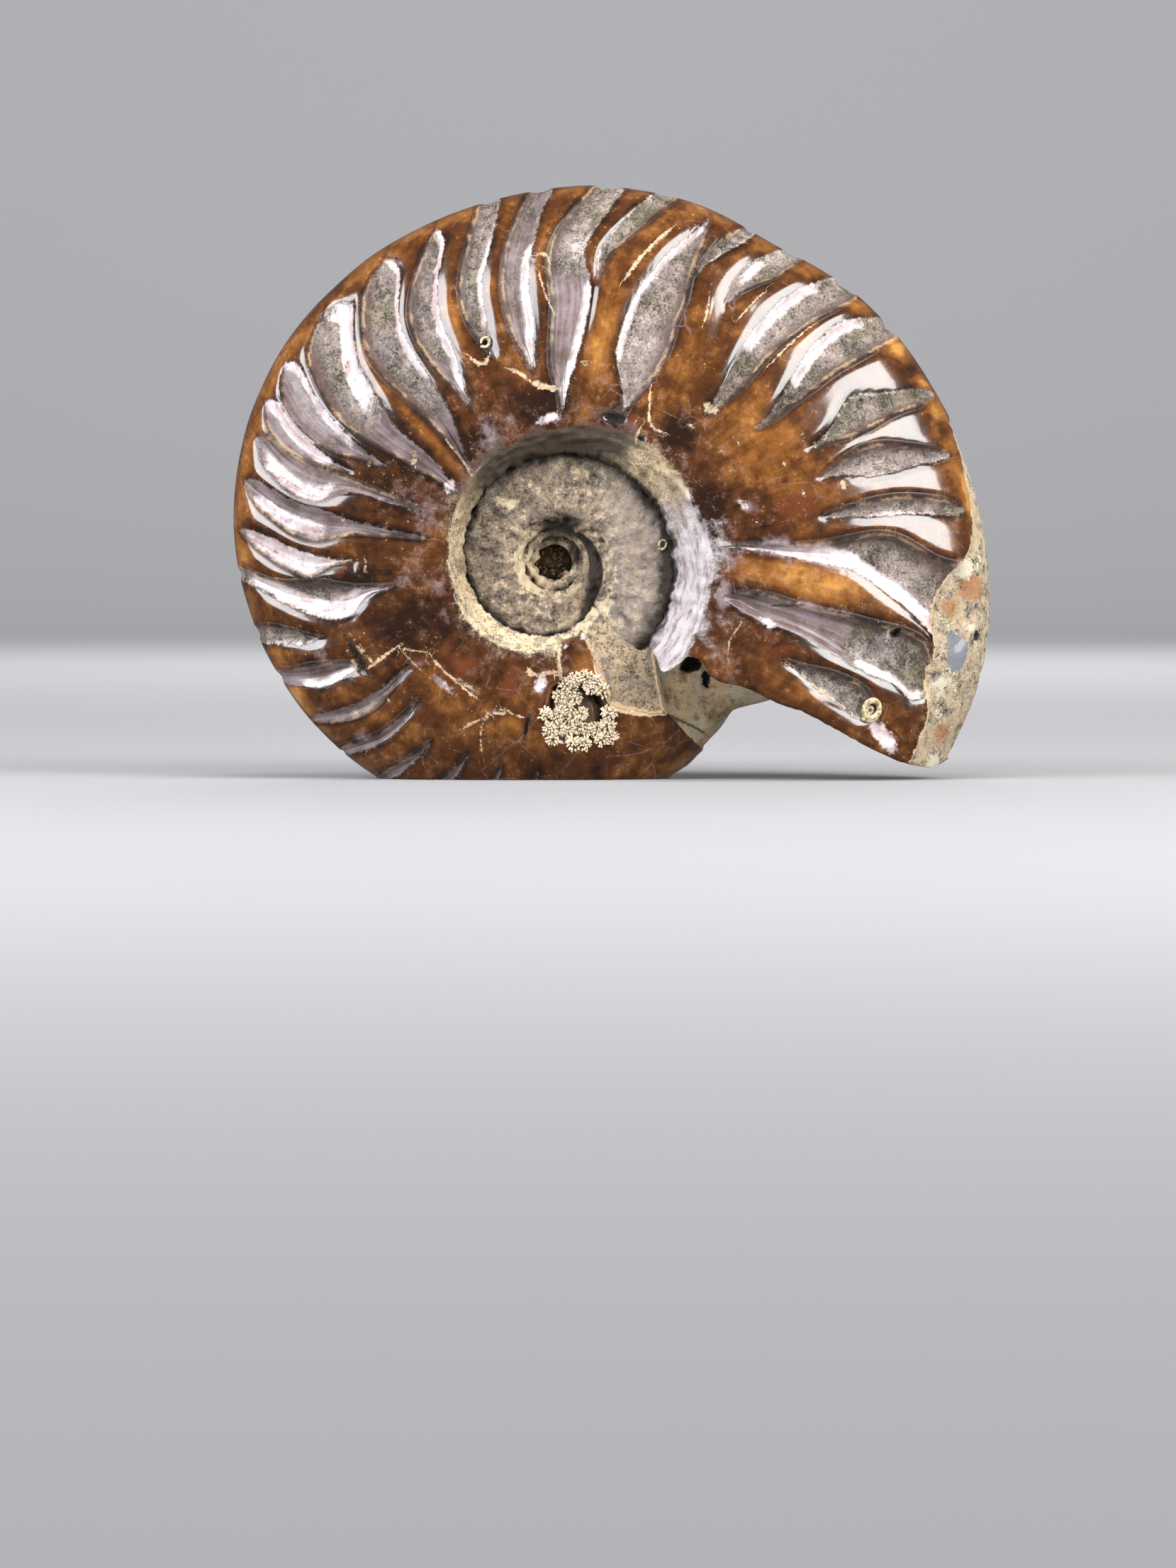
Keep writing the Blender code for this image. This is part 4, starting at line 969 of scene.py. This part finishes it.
    # Where the outer shell has come off: a sandy plate with a cream edge, and a smooth beige edge.
    sand = (value.mark_mm("sand") + wave).over(-0.1, 0.1)
    sandy = tooth.over(0.42, 0.55).mix(SAND_SHADE, SAND_LIGHT)
    sandy = (speck * 0.6 + rough * 0.4).over(0.44, 0.36).mix(sandy, CRUST_DARK)
    sandy = (coarse + angle.over(302, 312) * 0.12).over(0.56, 0.66).mix(sandy, STONE_GREY)
    colour = sand.mix(colour, sandy)
    sand_edge = (abs(value.mark_mm("sand") + wave) - (coarse - 0.5) * 2).over(0.5, 0.3)
    colour = (sand_edge * place.over(0.1, 0.2) * 0.9).mix(colour, EDGE_CREAM)
    beige = (value.mark_mm("beige") + wave * 0.4).over(-0.08, 0.08)
    smooth_edge = (medium * 0.5 + tooth * 0.5).over(0.40, 0.54).mix(VENTER_SHADE, VENTER_BEIGE)
    smooth_edge = ((coarse * 0.6 + rough * 0.4).over(0.5, 0.6) * 0.3).mix(smooth_edge, STONE_GREEN)
    pale_edge = (coarse * 0.5 + rough * 0.5 + place * 0.15).over(0.60, 0.72)
    smooth_edge = (pale_edge * 0.8).mix(smooth_edge, STONE_WHITE)
    colour = beige.mix(colour, smooth_edge)

    # Bare stone along the rim and in the mouth.
    bare = (rim + wave * 1.6).over(-0.12, 0.12)
    bare = value.maths("MAXIMUM", bare, stone)
    rock = (medium * 0.5 + rough * 0.5).over(0.38, 0.56).mix(STONE_GREY, STONE_CREAM)
    rock = ((coarse * 0.7 + rough * 0.3).over(0.52, 0.62) * 0.7).mix(rock, STONE_GREEN)
    rock = ((broad * 0.5 + rough * 0.5).over(0.56, 0.64) * 0.7).mix(rock, STONE_RUST)
    rock = (tooth + (medium - 0.5) * 0.3).over(0.45, 0.38).mix(rock, CRUST_DARK)
    rock = (tooth + (coarse - 0.5) * 0.3).over(0.54, 0.61).mix(rock, STONE_WHITE)
    rust = (value.mark("red") + (rough - 0.5) * 1.6).over(0.35, 0.7)
    rock = (rust * 0.8).mix(rock, STONE_RUST)
    rock = (value.mark("film") + (rough - 0.5) * 1.6).over(0.45, 0.7).mix(rock, STONE_WHITE)
    blue = (value.mark("blue") + (medium - 0.5) * 0.9).over(0.36, 0.46)
    rock = blue.mix(rock, STONE_BLUE)
    rock = (rim + wave).over(0.55, 0.2).mix(rock, EDGE_CREAM)
    colour = bare.mix(colour, rock)

    # Marks of age: thin lines, chips, pearly patches, and pits painted near black as the shade inside them.
    line = value.mark("line_near") * (0.2 + medium * 1.4) - abs(value.mark_mm("line"))
    line = (line + (tooth - 0.5) * 1.6).over(-0.10, 0.12)
    line_colour = (tooth * 0.5 + fine * 0.5).over(0.42, 0.56).mix(CRUST_BEIGE, EDGE_CREAM)
    line_colour = value.mark("line_tone").over(0.0, 1.0).mix(BLACK_GAP, line_colour)
    colour = (line * 0.8).mix(colour, line_colour)
    patch = (value.mark_mm("pearl") + wave * 1.5).over(-0.3, 0.4)
    colour = patch.mix(colour, pearl)
    chip = (value.mark_mm("chip") + wave * 1.2).over(-0.12, 0.15)
    colour = (chip * 0.85).mix(colour, speck.over(0.35, 0.6).mix(CRUST_BEIGE, EDGE_CREAM))
    # Painted shade: pits and holes are near black inside.
    pit = (value.mark_mm("pit") + wave * 0.9).over(-0.10, 0.15)
    colour = pit.mix(colour, BLACK_GAP)

    dull = in_furrow * (0.5 + 0.5 * grit) * (1 - pearly * 0.7)
    worn_edge = furrow.over(-0.8, -0.2) * lean.over(-0.2, 0.3) * 0.85
    for cover in (worn_edge, on_wall, sand, beige * 0.6, bare * (1 - 0.4 * blue), chip, pit):
        dull = value.maths("MAXIMUM", dull, cover)
    connect(colour, shader, "Base Color")
    connect(0.22 + dull * 0.5 + (rough - 0.5) * 0.2, shader, "Roughness")
    connect((1 - dull) * 0.9, shader, "Coat Weight")
    shader.inputs["Coat Roughness"].default_value = 0.1
    shader.inputs["Coat IOR"].default_value = 1.55
    shader.inputs["Specular IOR Level"].default_value = 0.35

    relief = dull * (rough * 1.3 + speck * 0.35) + (1 - dull) * (medium * 0.09 + fine * 0.03)
    connect_relief(relief, 0.4 * MM, shader)
    return material


build_body_whorl(shell_material())


# Worm tubes
# Small tubes of sea worms that grew on the shell: a coil on the last rib by the mouth, and two rings.
# Each is one round tube, bent in a ring and closed at both ends.

WORM_CREAM = (0.52, 0.44, 0.28)
WORM_SHADE = (0.22, 0.165, 0.085)
# (angle, place, ring radius, tube radius, turns), sizes in mm.
WORM_TUBES = (
    (-25.1, 0.655, 1.55, 0.55, 1.35), (-25.3, 0.65, 0.6, 0.3, 0.95), (107.6, 0.435, 0.8, 0.25, 0.95),
    (369.0, 0.31, 0.75, 0.22, 0.98),
)
TUBE_STEPS = 40
TUBE_SIDES = 12


def worm_material():
    material, value, shader = new_material("worm_tube")
    spot = value.node("ShaderNodeTexCoord", output="Object")
    fine = value.grain(spot, 0.6 * MM, 3.0)
    connect(fine.over(0.35, 0.6).mix(WORM_SHADE, WORM_CREAM), shader, "Base Color")
    shader.inputs["Roughness"].default_value = 0.55
    connect_relief(fine, 0.2 * MM, shader)
    return material


def build_worm_tubes(material):
    bm = bmesh.new()
    for angle, place, ring, tube, turns in WORM_TUBES:
        point, normal = section(angle, place)
        centre = to_world(angle, point, FRONT)
        out = (to_world(angle, point + normal * MM, FRONT) - centre).normalized()
        across = out.orthogonal().normalized()
        along = out.cross(across)
        grid = bmesh.ops.create_grid(bm, x_segments=TUBE_STEPS, y_segments=TUBE_SIDES, size=0.5)
        for vert in grid["verts"]:
            step, around = vert.co.x + 0.5, (vert.co.y + 0.5) * math.tau
            turn = step * turns * math.tau
            away = across * math.cos(turn) + along * math.sin(turn)
            bend = ring * (1 + 0.08 * math.sin(2 * turn + 1)) * (1 - 0.25 * step)
            thick = tube * (1 - 0.35 * step) * (1 + 0.1 * math.sin(17 * step))
            bend += thick * math.cos(around)
            vert.co = centre + (away * bend + out * (thick * (math.sin(around) + 0.35) + 0.5 * step)) * MM
    bmesh.ops.remove_doubles(bm, verts=bm.verts, dist=WELD)
    for loop in open_loops(bm):
        bmesh.ops.edgeloop_fill(bm, edges=loop)
    finish_piece("worm_tubes", bm, material, "ammonite")


build_worm_tubes(worm_material())


# Inner whorls
# The older whorls that show in the umbilicus, never polished and caked with grains of stone.
# They are one more tube, which follows the same spiral to a plug of small crystals in the centre.

INNER_START = 306.0
INNER_END = 1400.0
INNER_CELL = 0.36 * MM
BAND_ROWS = 34
UNDERLAP = 0.6 * MM  # how far the band runs on under the younger whorl
CHALK_BEIGE = (0.40, 0.30, 0.20)
CHALK_GREY = (0.19, 0.15, 0.115)
CHALK_LILAC = (0.36, 0.31, 0.28)
CHALK_CREAM = (0.62, 0.50, 0.33)
CHALK_DARK = (0.045, 0.033, 0.024)
CHALK_ORANGE = (0.36, 0.19, 0.075)
OLIVE = (0.045, 0.036, 0.016)
CHALK_MARKS = ("share", "place", "angle", "pale", "painted_shade", "orange")
# Soft zones of colour on its front, by kind: (amount, x, z, half x, half z) in mm. The zones of the
# darkening kind are painted shade.
CHALK_ZONES = {
    "painted_shade": (
        (0.9, -7.9, 40.6, 4.2, 2.4), (0.5, -4.0, 30.5, 1.6, 5.0), (0.5, -19.5, 36.0, 2.4, 6.0),
    ),
    "pale": (
        (0.9, -13.1, 32.4, 2.0, 4.2), (0.7, -5.5, 25.2, 7.0, 2.2), (0.6, -17.0, 23.5, 3.0, 2.4),
        (0.9, -10.0, 37.0, 2.6, 1.2), (0.8, -16.0, 43.6, 2.0, 1.5), (0.5, -2.0, 47.0, 6.0, 1.6),
    ),
    "orange": (
        (0.4, 2.5, 36.0, 3.6, 6.0), (0.8, -4.0, 27.8, 1.6, 1.2), (0.5, -6.0, 26.6, 1.4, 1.0),
    ),
}


def chalk_material():
    material, value, shader = new_material("ammonite_chalk")
    spot = value.node("ShaderNodeTexCoord", output="Object")
    share = value.mark("share")
    place = value.mark("place")
    angle = value.mark("angle")
    coarse = value.grain(spot, 3.0 * MM, 4.0)
    rough = value.grain(spot, 1.5 * MM, 7.0, 0.75)
    speck = value.grain(spot, 0.4 * MM, 3.0, 0.6)
    growth = value.grain(value.vector(angle * 0.3, share * 1.5), 1.0, 3.0)
    medium = value.grain(spot, 1.4 * MM, 3.0, 0.6)
    tone = rough * 0.30 + speck * 0.22 + coarse * 0.16 + medium * 0.20 + growth * 0.12
    colour = tone.over(0.40, 0.48).mix(CHALK_DARK, CHALK_GREY)
    colour = tone.over(0.46, 0.56).mix(colour, CHALK_BEIGE)
    colour = (tone + (rough - 0.5) * 0.3).over(0.55, 0.61).mix(colour, CHALK_CREAM)
    colour = ((medium * 0.6 + speck * 0.4).over(0.44, 0.37) * 0.6).mix(colour, CHALK_DARK)
    lilac = value.node("ShaderNodeSeparateXYZ", {}, {"Vector": spot}) * (1 / MM) + (coarse - 0.5) * 14
    colour = (lilac.over(-4.0, 3.0) * 0.45).mix(colour, CHALK_LILAC)
    colour = (value.mark("orange") + (rough - 0.5) * 2).over(0.3, 1.0).mix(colour, CHALK_ORANGE)
    pale = value.mark("pale") + (rough - 0.5) * 3 + (coarse - 0.5) + place.over(0.05, -0.25) * 0.55
    colour = pale.over(0.35, 0.85).mix(colour, CHALK_CREAM)
    # Painted shade: these zones darken where the inner whorls lie in shade.
    painted_shade = value.mark("painted_shade") + (coarse - 0.5) * 1.4 + (rough - 0.5) * 1.2
    colour = painted_shade.over(0.25, 0.75).mix(colour, CHALK_DARK)
    # Painted shade in the groove at each band's seam with the older whorl.
    groove = (share + (coarse - 0.5) * 0.12).over(0.10, 0.02)
    colour = groove.mix(colour, CHALK_DARK)
    # Painted shade at the foot of the younger whorl's wall, broader on the right and in a crescent further
    # in.
    right = angle.over(420, 390) * angle.over(306, 318)
    crescent = angle.over(640, 690) * angle.over(830, 770)
    foot = (share + (coarse - 0.5) * 0.2 + right * 0.03 + crescent * 0.16).over(0.94, 1.0)
    colour = foot.mix(colour, CHALK_DARK)
    connect(colour, shader, "Base Color")
    shader.inputs["Roughness"].default_value = 0.7
    relief = rough * 2.0 + coarse * 1.2 + speck * 0.3
    connect_relief(relief, 0.5 * MM, shader)
    return material


def build_inner_whorls(material):
    angles = [INNER_START]
    while angles[-1] < INNER_END:
        angles.append(angles[-1] + math.degrees(INNER_CELL / shoulder(angles[-1])))
    shares = [k / BAND_ROWS for k in range(BAND_ROWS + 1)]
    rows = [(share, FRONT) for share in shares] + [(share, BACK) for share in reversed(shares)]
    bm = bmesh.new()
    layers = {name: bm.verts.layers.float.new(name) for name in CHALK_MARKS}
    count = len(angles) - 1
    grid = bmesh.ops.create_grid(bm, x_segments=count, y_segments=len(rows), size=0.5)
    for vert in grid["verts"]:
        angle = angles[round((vert.co.x + 0.5) * count)]
        share, side = rows[round((vert.co.y + 0.5) * len(rows)) % len(rows)]
        span = venter(angle) - shoulder(angle)
        trim = (seam(angle - TURN) + UNDERLAP - shoulder(angle)) / span
        place = -1 + (trim + 1) * share
        point, normal = section(angle, place)
        world = to_world(angle, point, side)
        fade = smooth(0.0, 0.15, share) * min(point[0] / (6.0 * MM), 1.0)
        lump = 0.8 * noise.noise(world / (3.0 * MM)) + 0.8 * noise.noise(world / (1.2 * MM))
        lump = fade * (lump + 0.5 * noise.noise(world / (0.7 * MM)))
        start = 1.3 * MM * smooth(INNER_START + 9, INNER_START, angle)
        start += 1.3 * MM * smooth(0.85, 1.0, share) * smooth(INNER_START + 16, INNER_START + 8, angle)
        inmost = smooth(780.0, 900.0, angle) * smooth(0.0, 0.3, share)
        lump += inmost * 1.3 * noise.noise(world / (1.5 * MM) + Vector((7.0, 0.0, 0.0)))
        vert.co = to_world(angle, point + normal * (lump * MM - start), side)
        vert[layers["share"]] = share
        vert[layers["angle"]] = angle
        vert[layers["place"]] = place
        if side == FRONT:
            for kind, zones in CHALK_ZONES.items():
                for amount, x, z, half_x, half_z in zones:
                    away = ((world.x / MM - x) / half_x) ** 2 + ((world.z / MM - z) / half_z) ** 2
                    vert[layers[kind]] += amount * math.exp(-away)
    bmesh.ops.remove_doubles(bm, verts=bm.verts, dist=WELD)
    for loop in open_loops(bm):
        bmesh.ops.edgeloop_fill(bm, edges=loop)
    finish_piece("inner_whorls", bm, material, "ammonite")


PLUG_RADIUS = 3.4 * MM
PLUG_HALF = 3.2 * MM


def plug_material():
    material, value, shader = new_material("centre_crystals")
    spot = value.node("ShaderNodeTexCoord", output="Object")
    tint = value.cells(spot, 0.7 * MM, output="Color")
    connect(tint.over(0.5, 0.95).mix(OLIVE, AMBER), shader, "Base Color")
    shader.inputs["Roughness"].default_value = 0.3
    return material


def plant_crystals(bm, crystals):
    """Six-sided crystals (foot, direction, length, radius), pointed at both ends, thinner at the foot.

    Their mark reach goes from 0 at the foot to 1 at the tip.
    """
    cluster = bmesh.new()
    reach = cluster.verts.layers.float.new("reach")
    for base, lean, length, radius in crystals:
        turn = lean.to_track_quat("Z", "Y").to_matrix()
        made = bmesh.ops.create_uvsphere(cluster, u_segments=6, v_segments=3, radius=1.0)
        for vert in made["verts"]:
            at_tip, at_pole = vert.co.z > 0, abs(vert.co.z) > 0.9
            wide = radius * (1.15 if at_tip else 0.8)
            if at_tip:
                height = length if at_pole else length - 1.3 * radius
            else:
                height = -0.3 * length if at_pole else 0.0
            vert.co = base + turn @ Vector((vert.co.x * wide, vert.co.y * wide, height))
            vert[reach] = 1.0 if at_tip else 0.0
    mesh = bpy.data.meshes.new("cluster")
    cluster.to_mesh(mesh)
    cluster.free()
    bm.from_mesh(mesh)
    bpy.data.meshes.remove(mesh)


def build_centre(material):
    bm = bmesh.new()
    made = bmesh.ops.create_cone(
        bm, cap_ends=True, segments=32, radius1=PLUG_RADIUS, radius2=PLUG_RADIUS, depth=2 * PLUG_HALF
    )
    for vert in made["verts"]:
        vert.co = AXIS + Vector((vert.co.x, vert.co.z, vert.co.y))
    rng = random.Random(3)
    for side in (FRONT, BACK):
        crystals = []
        for _ in range(46):
            turn, away = rng.uniform(0, math.tau), PLUG_RADIUS * math.sqrt(rng.random())
            base = AXIS + Vector((away * math.cos(turn), -side * PLUG_HALF, away * math.sin(turn)))
            lean = Vector((rng.gauss(0, 0.6), -side, rng.gauss(0, 0.6))).normalized()
            crystals.append((base, lean, rng.uniform(0.5, 1.1) * MM, rng.uniform(0.25, 0.45) * MM))
        plant_crystals(bm, crystals)
    finish_piece("centre_plug", bm, material, "ammonite")


build_inner_whorls(chalk_material())
build_centre(plug_material())


# Crystal crust
# Small beige calcite crystals that line the broken hollow low on the front flank, in sheaves.
# Each is a pointed six-sided prism. They grow from the walls of the hollow and from one lump in it.

CRYSTAL_PALE = (0.62, 0.52, 0.38)
CRYSTAL_BEIGE = (0.42, 0.31, 0.19)
CRYSTAL_SHADE = (0.10, 0.065, 0.035)
# Where the sheaves stand: (angle, place).
SHEAVES = (
    (268.2, 0.45), (266.4, 0.36), (270.7, 0.39), (269.0, 0.51), (274.8, 0.34), (278.7, 0.30), (274.1, 0.49),
    (279.8, 0.41), (277.8, 0.48), (281.1, 0.52), (284.7, 0.53), (288.0, 0.53), (284.9, 0.59), (279.3, 0.58),
    (275.6, 0.56), (275.1, 0.20), (280.0, 0.19), (284.6, 0.20), (288.7, 0.25), (290.3, 0.32), (286.0, 0.27),
    (277.0, 0.25), (272.2, 0.27), (287.8, 0.60), (271.6, 0.46), (272.5, 0.36), (276.5, 0.42), (289.8, 0.46),
)
SHEAF_CRYSTALS = 44
LUMP_SIZE = (4.3 * MM, 5.0 * MM, 1.2 * MM)
LUMP_DEPTH = 2.7 * MM


def crystal_material():
    material, value, shader = new_material("calcite")
    spot = value.node("ShaderNodeTexCoord", output="Object")
    medium = value.grain(spot, 1.6 * MM, 3.0)
    fine = value.grain(spot, 0.5 * MM, 2.0)
    # Painted shade: each crystal darkens towards its foot among the others, and the lump they grow from is
    # dark.
    reach = value.mark("reach") + (medium - 0.5) * 0.5
    colour = reach.over(0.1, 0.6).mix(CRYSTAL_SHADE, CRYSTAL_BEIGE)
    colour = (reach + (fine - 0.5) * 0.5).over(0.6, 1.0).mix(colour, CRYSTAL_PALE)
    connect(colour, shader, "Base Color")
    shader.inputs["Roughness"].default_value = 0.35
    return material


def build_crystals(material):
    rng = random.Random(7)
    bm = bmesh.new()
    bm.verts.layers.float.new("reach")
    angle, radius = HOLLOW_AT
    height = flank_height(angle, radius)
    mouth = to_world(angle, (radius, height), FRONT)
    out = (to_world(angle, (radius, 2 * height), FRONT) - mouth).normalized()
    up = (to_world(angle, (2 * radius, height), FRONT) - mouth).normalized()
    across = up.cross(out)
    middle = mouth - out * LUMP_DEPTH
    lump = bmesh.ops.create_icosphere(bm, subdivisions=4, radius=1.0)
    for vert in lump["verts"]:
        # Painted shade: the lump is dark, as the shade in the hollow.
        vert[bm.verts.layers.float["reach"]] = -0.4
        x, y, z = vert.co
        bump = 1 + 0.25 * noise.noise(vert.co * 4.0)
        offset = across * x * LUMP_SIZE[0] + up * y * LUMP_SIZE[1] + out * z * LUMP_SIZE[2]
        vert.co = middle + offset * bump
    for at, place in SHEAVES:
        reach = venter(at) - shoulder(at)
        inside = area_distance(HOLLOW, at, place, shoulder(at) + reach * place, reach)
        point, normal = section(at, place)
        sunk = min(max(inside * 0.8, 0.5 * MM), 1.6 * MM)
        base = to_world(at, point - normal * sunk, FRONT)
        sheaf = (out + up * rng.uniform(-0.4, 0.2) + across * rng.gauss(0, 0.2)).normalized()
        crystals = []
        for n in range(SHEAF_CRYSTALS):
            turn, tilt = n * 2.4, 1.35 * math.sqrt((n + 0.5) / SHEAF_CRYSTALS)
            lean = sheaf + (across * math.cos(turn) + up * math.sin(turn)) * math.tan(min(tilt, 1.2))
            lean = lean.normalized() + (across * rng.gauss(0, 0.12) + up * rng.gauss(0, 0.12))
            length, thick = rng.uniform(1.2, 1.7) * MM, rng.uniform(0.14, 0.22) * MM
            crystals.append((base, lean.normalized(), length, thick))
        plant_crystals(bm, crystals)
    finish_piece("calcite_tufts", bm, material, "calcite_crystals")


build_crystals(crystal_material())


# Studio
# A pale seamless floor and a soft box on each side of the fossil. Its polish mirrors only the two boxes,
# and neither the floor nor the other lights, which even out the floor, the backdrop and the shadows.
# The camera is a long way off and looks down by two degrees.

PHOTO_SIZE = (1659, 2212)
PIXEL = 0.1128 * MM
VIEW_CENTRE = Vector((-3.8 * MM, 0.0, -0.9 * MM))
VIEW_DISTANCE = 1.3
VIEW_PITCH = math.radians(2.0)
SENSOR = 36.0
FLOOR_HALF = (4.0, 3.0)
FLOOR_FORWARD = 1.0
BACKDROP_HEIGHT = 2.5
BACKDROP_BEND = 0.6
FLOOR_GREY = (0.25, 0.25, 0.26)
WORLD_GREY = (0.5, 0.5, 0.52)
OBJECT_MIDDLE = (0.0, 0.0, 0.045)  # which the boxes face


def build_floor():
    bm = bmesh.new()
    bmesh.ops.create_grid(bm, x_segments=1, y_segments=1, size=1.0)
    for vert in bm.verts:
        vert.co = Vector((vert.co.x * FLOOR_HALF[0], vert.co.y * FLOOR_HALF[1] - FLOOR_FORWARD, 0.0))
    back = [edge for edge in bm.edges if all(vert.co.y > 1 for vert in edge.verts)]
    made = bmesh.ops.extrude_edge_only(bm, edges=back)
    for vert in made["geom"]:
        if isinstance(vert, bmesh.types.BMVert):
            vert.co.z += BACKDROP_HEIGHT
    bend = [edge for edge in bm.edges if all(vert.co.y > 1 and vert.co.z < 0.1 for vert in edge.verts)]
    bmesh.ops.bevel(
        bm, geom=bend, offset=BACKDROP_BEND, segments=16, affect="EDGES", profile=0.5, material=-1
    )
    material, _, shader = new_material("studio_paper")
    shader.inputs["Base Color"].default_value = (*FLOOR_GREY, 1.0)
    shader.inputs["Roughness"].default_value = 0.9
    mesh = bpy.data.meshes.new("floor")
    bmesh.ops.recalc_face_normals(bm, faces=bm.faces)
    bm.to_mesh(mesh)
    bm.free()
    mesh.shade_smooth()
    mesh.materials.append(material)
    floor = bpy.data.objects.new("floor", mesh)
    floor.visible_glossy = False
    bpy.context.scene.collection.objects.link(floor)


def add_light(name, place, size, power, colour=(1.0, 1.0, 1.0), target=OBJECT_MIDDLE, mirrored=False):
    light = bpy.data.lights.new(name, "AREA")
    light.shape = "RECTANGLE"
    light.size, light.size_y = size
    light.energy = power
    light.color = colour
    holder = bpy.data.objects.new(name, light)
    holder.location = place
    holder.visible_glossy = mirrored
    holder.rotation_euler = (Vector(target) - Vector(place)).to_track_quat("-Z", "Y").to_euler()
    bpy.context.scene.collection.objects.link(holder)


def add_camera():
    lens = bpy.data.cameras.new("camera")
    lens.sensor_fit = "VERTICAL"
    lens.sensor_height = SENSOR
    lens.lens = SENSOR * VIEW_DISTANCE / (PHOTO_SIZE[1] * PIXEL)
    camera = bpy.data.objects.new("camera", lens)
    back = Vector((0.0, -math.cos(VIEW_PITCH), math.sin(VIEW_PITCH)))
    camera.location = VIEW_CENTRE + back * VIEW_DISTANCE
    camera.rotation_euler = (-back).to_track_quat("-Z", "Y").to_euler()
    bpy.context.scene.collection.objects.link(camera)
    bpy.context.scene.camera = camera


build_floor()
add_light("left_box", (-0.52, -0.32, 0.26), (0.44, 0.50), 7.0, (0.96, 0.97, 1.0), mirrored=True)
add_light("right_box", (0.48, -0.36, 0.30), (0.40, 0.46), 7.0, (1.0, 0.99, 0.97), mirrored=True)
add_light("top_box", (0.05, -0.10, 0.6), (0.3, 0.16), 2.5)
add_light("front_wash", (0.0, -1.05, 1.1), (2.4, 0.5), 30.0, target=(0.0, -0.95, 0.0))
add_light("back_wash", (0.0, 0.7, 1.3), (1.6, 0.4), 40.0, target=(0.0, 2.0, 0.5))
add_light("rear_box", (0.1, 0.9, 0.6), (0.6, 0.6), 7.0)
world = bpy.data.worlds.new("studio")
world.use_nodes = True
backdrop = world.node_tree.nodes["Background"]
backdrop.inputs["Color"].default_value = (*WORLD_GREY, 1.0)
backdrop.inputs["Strength"].default_value = 0.2
bpy.context.scene.world = world
bpy.context.scene.view_settings.view_transform = "Standard"
add_camera()
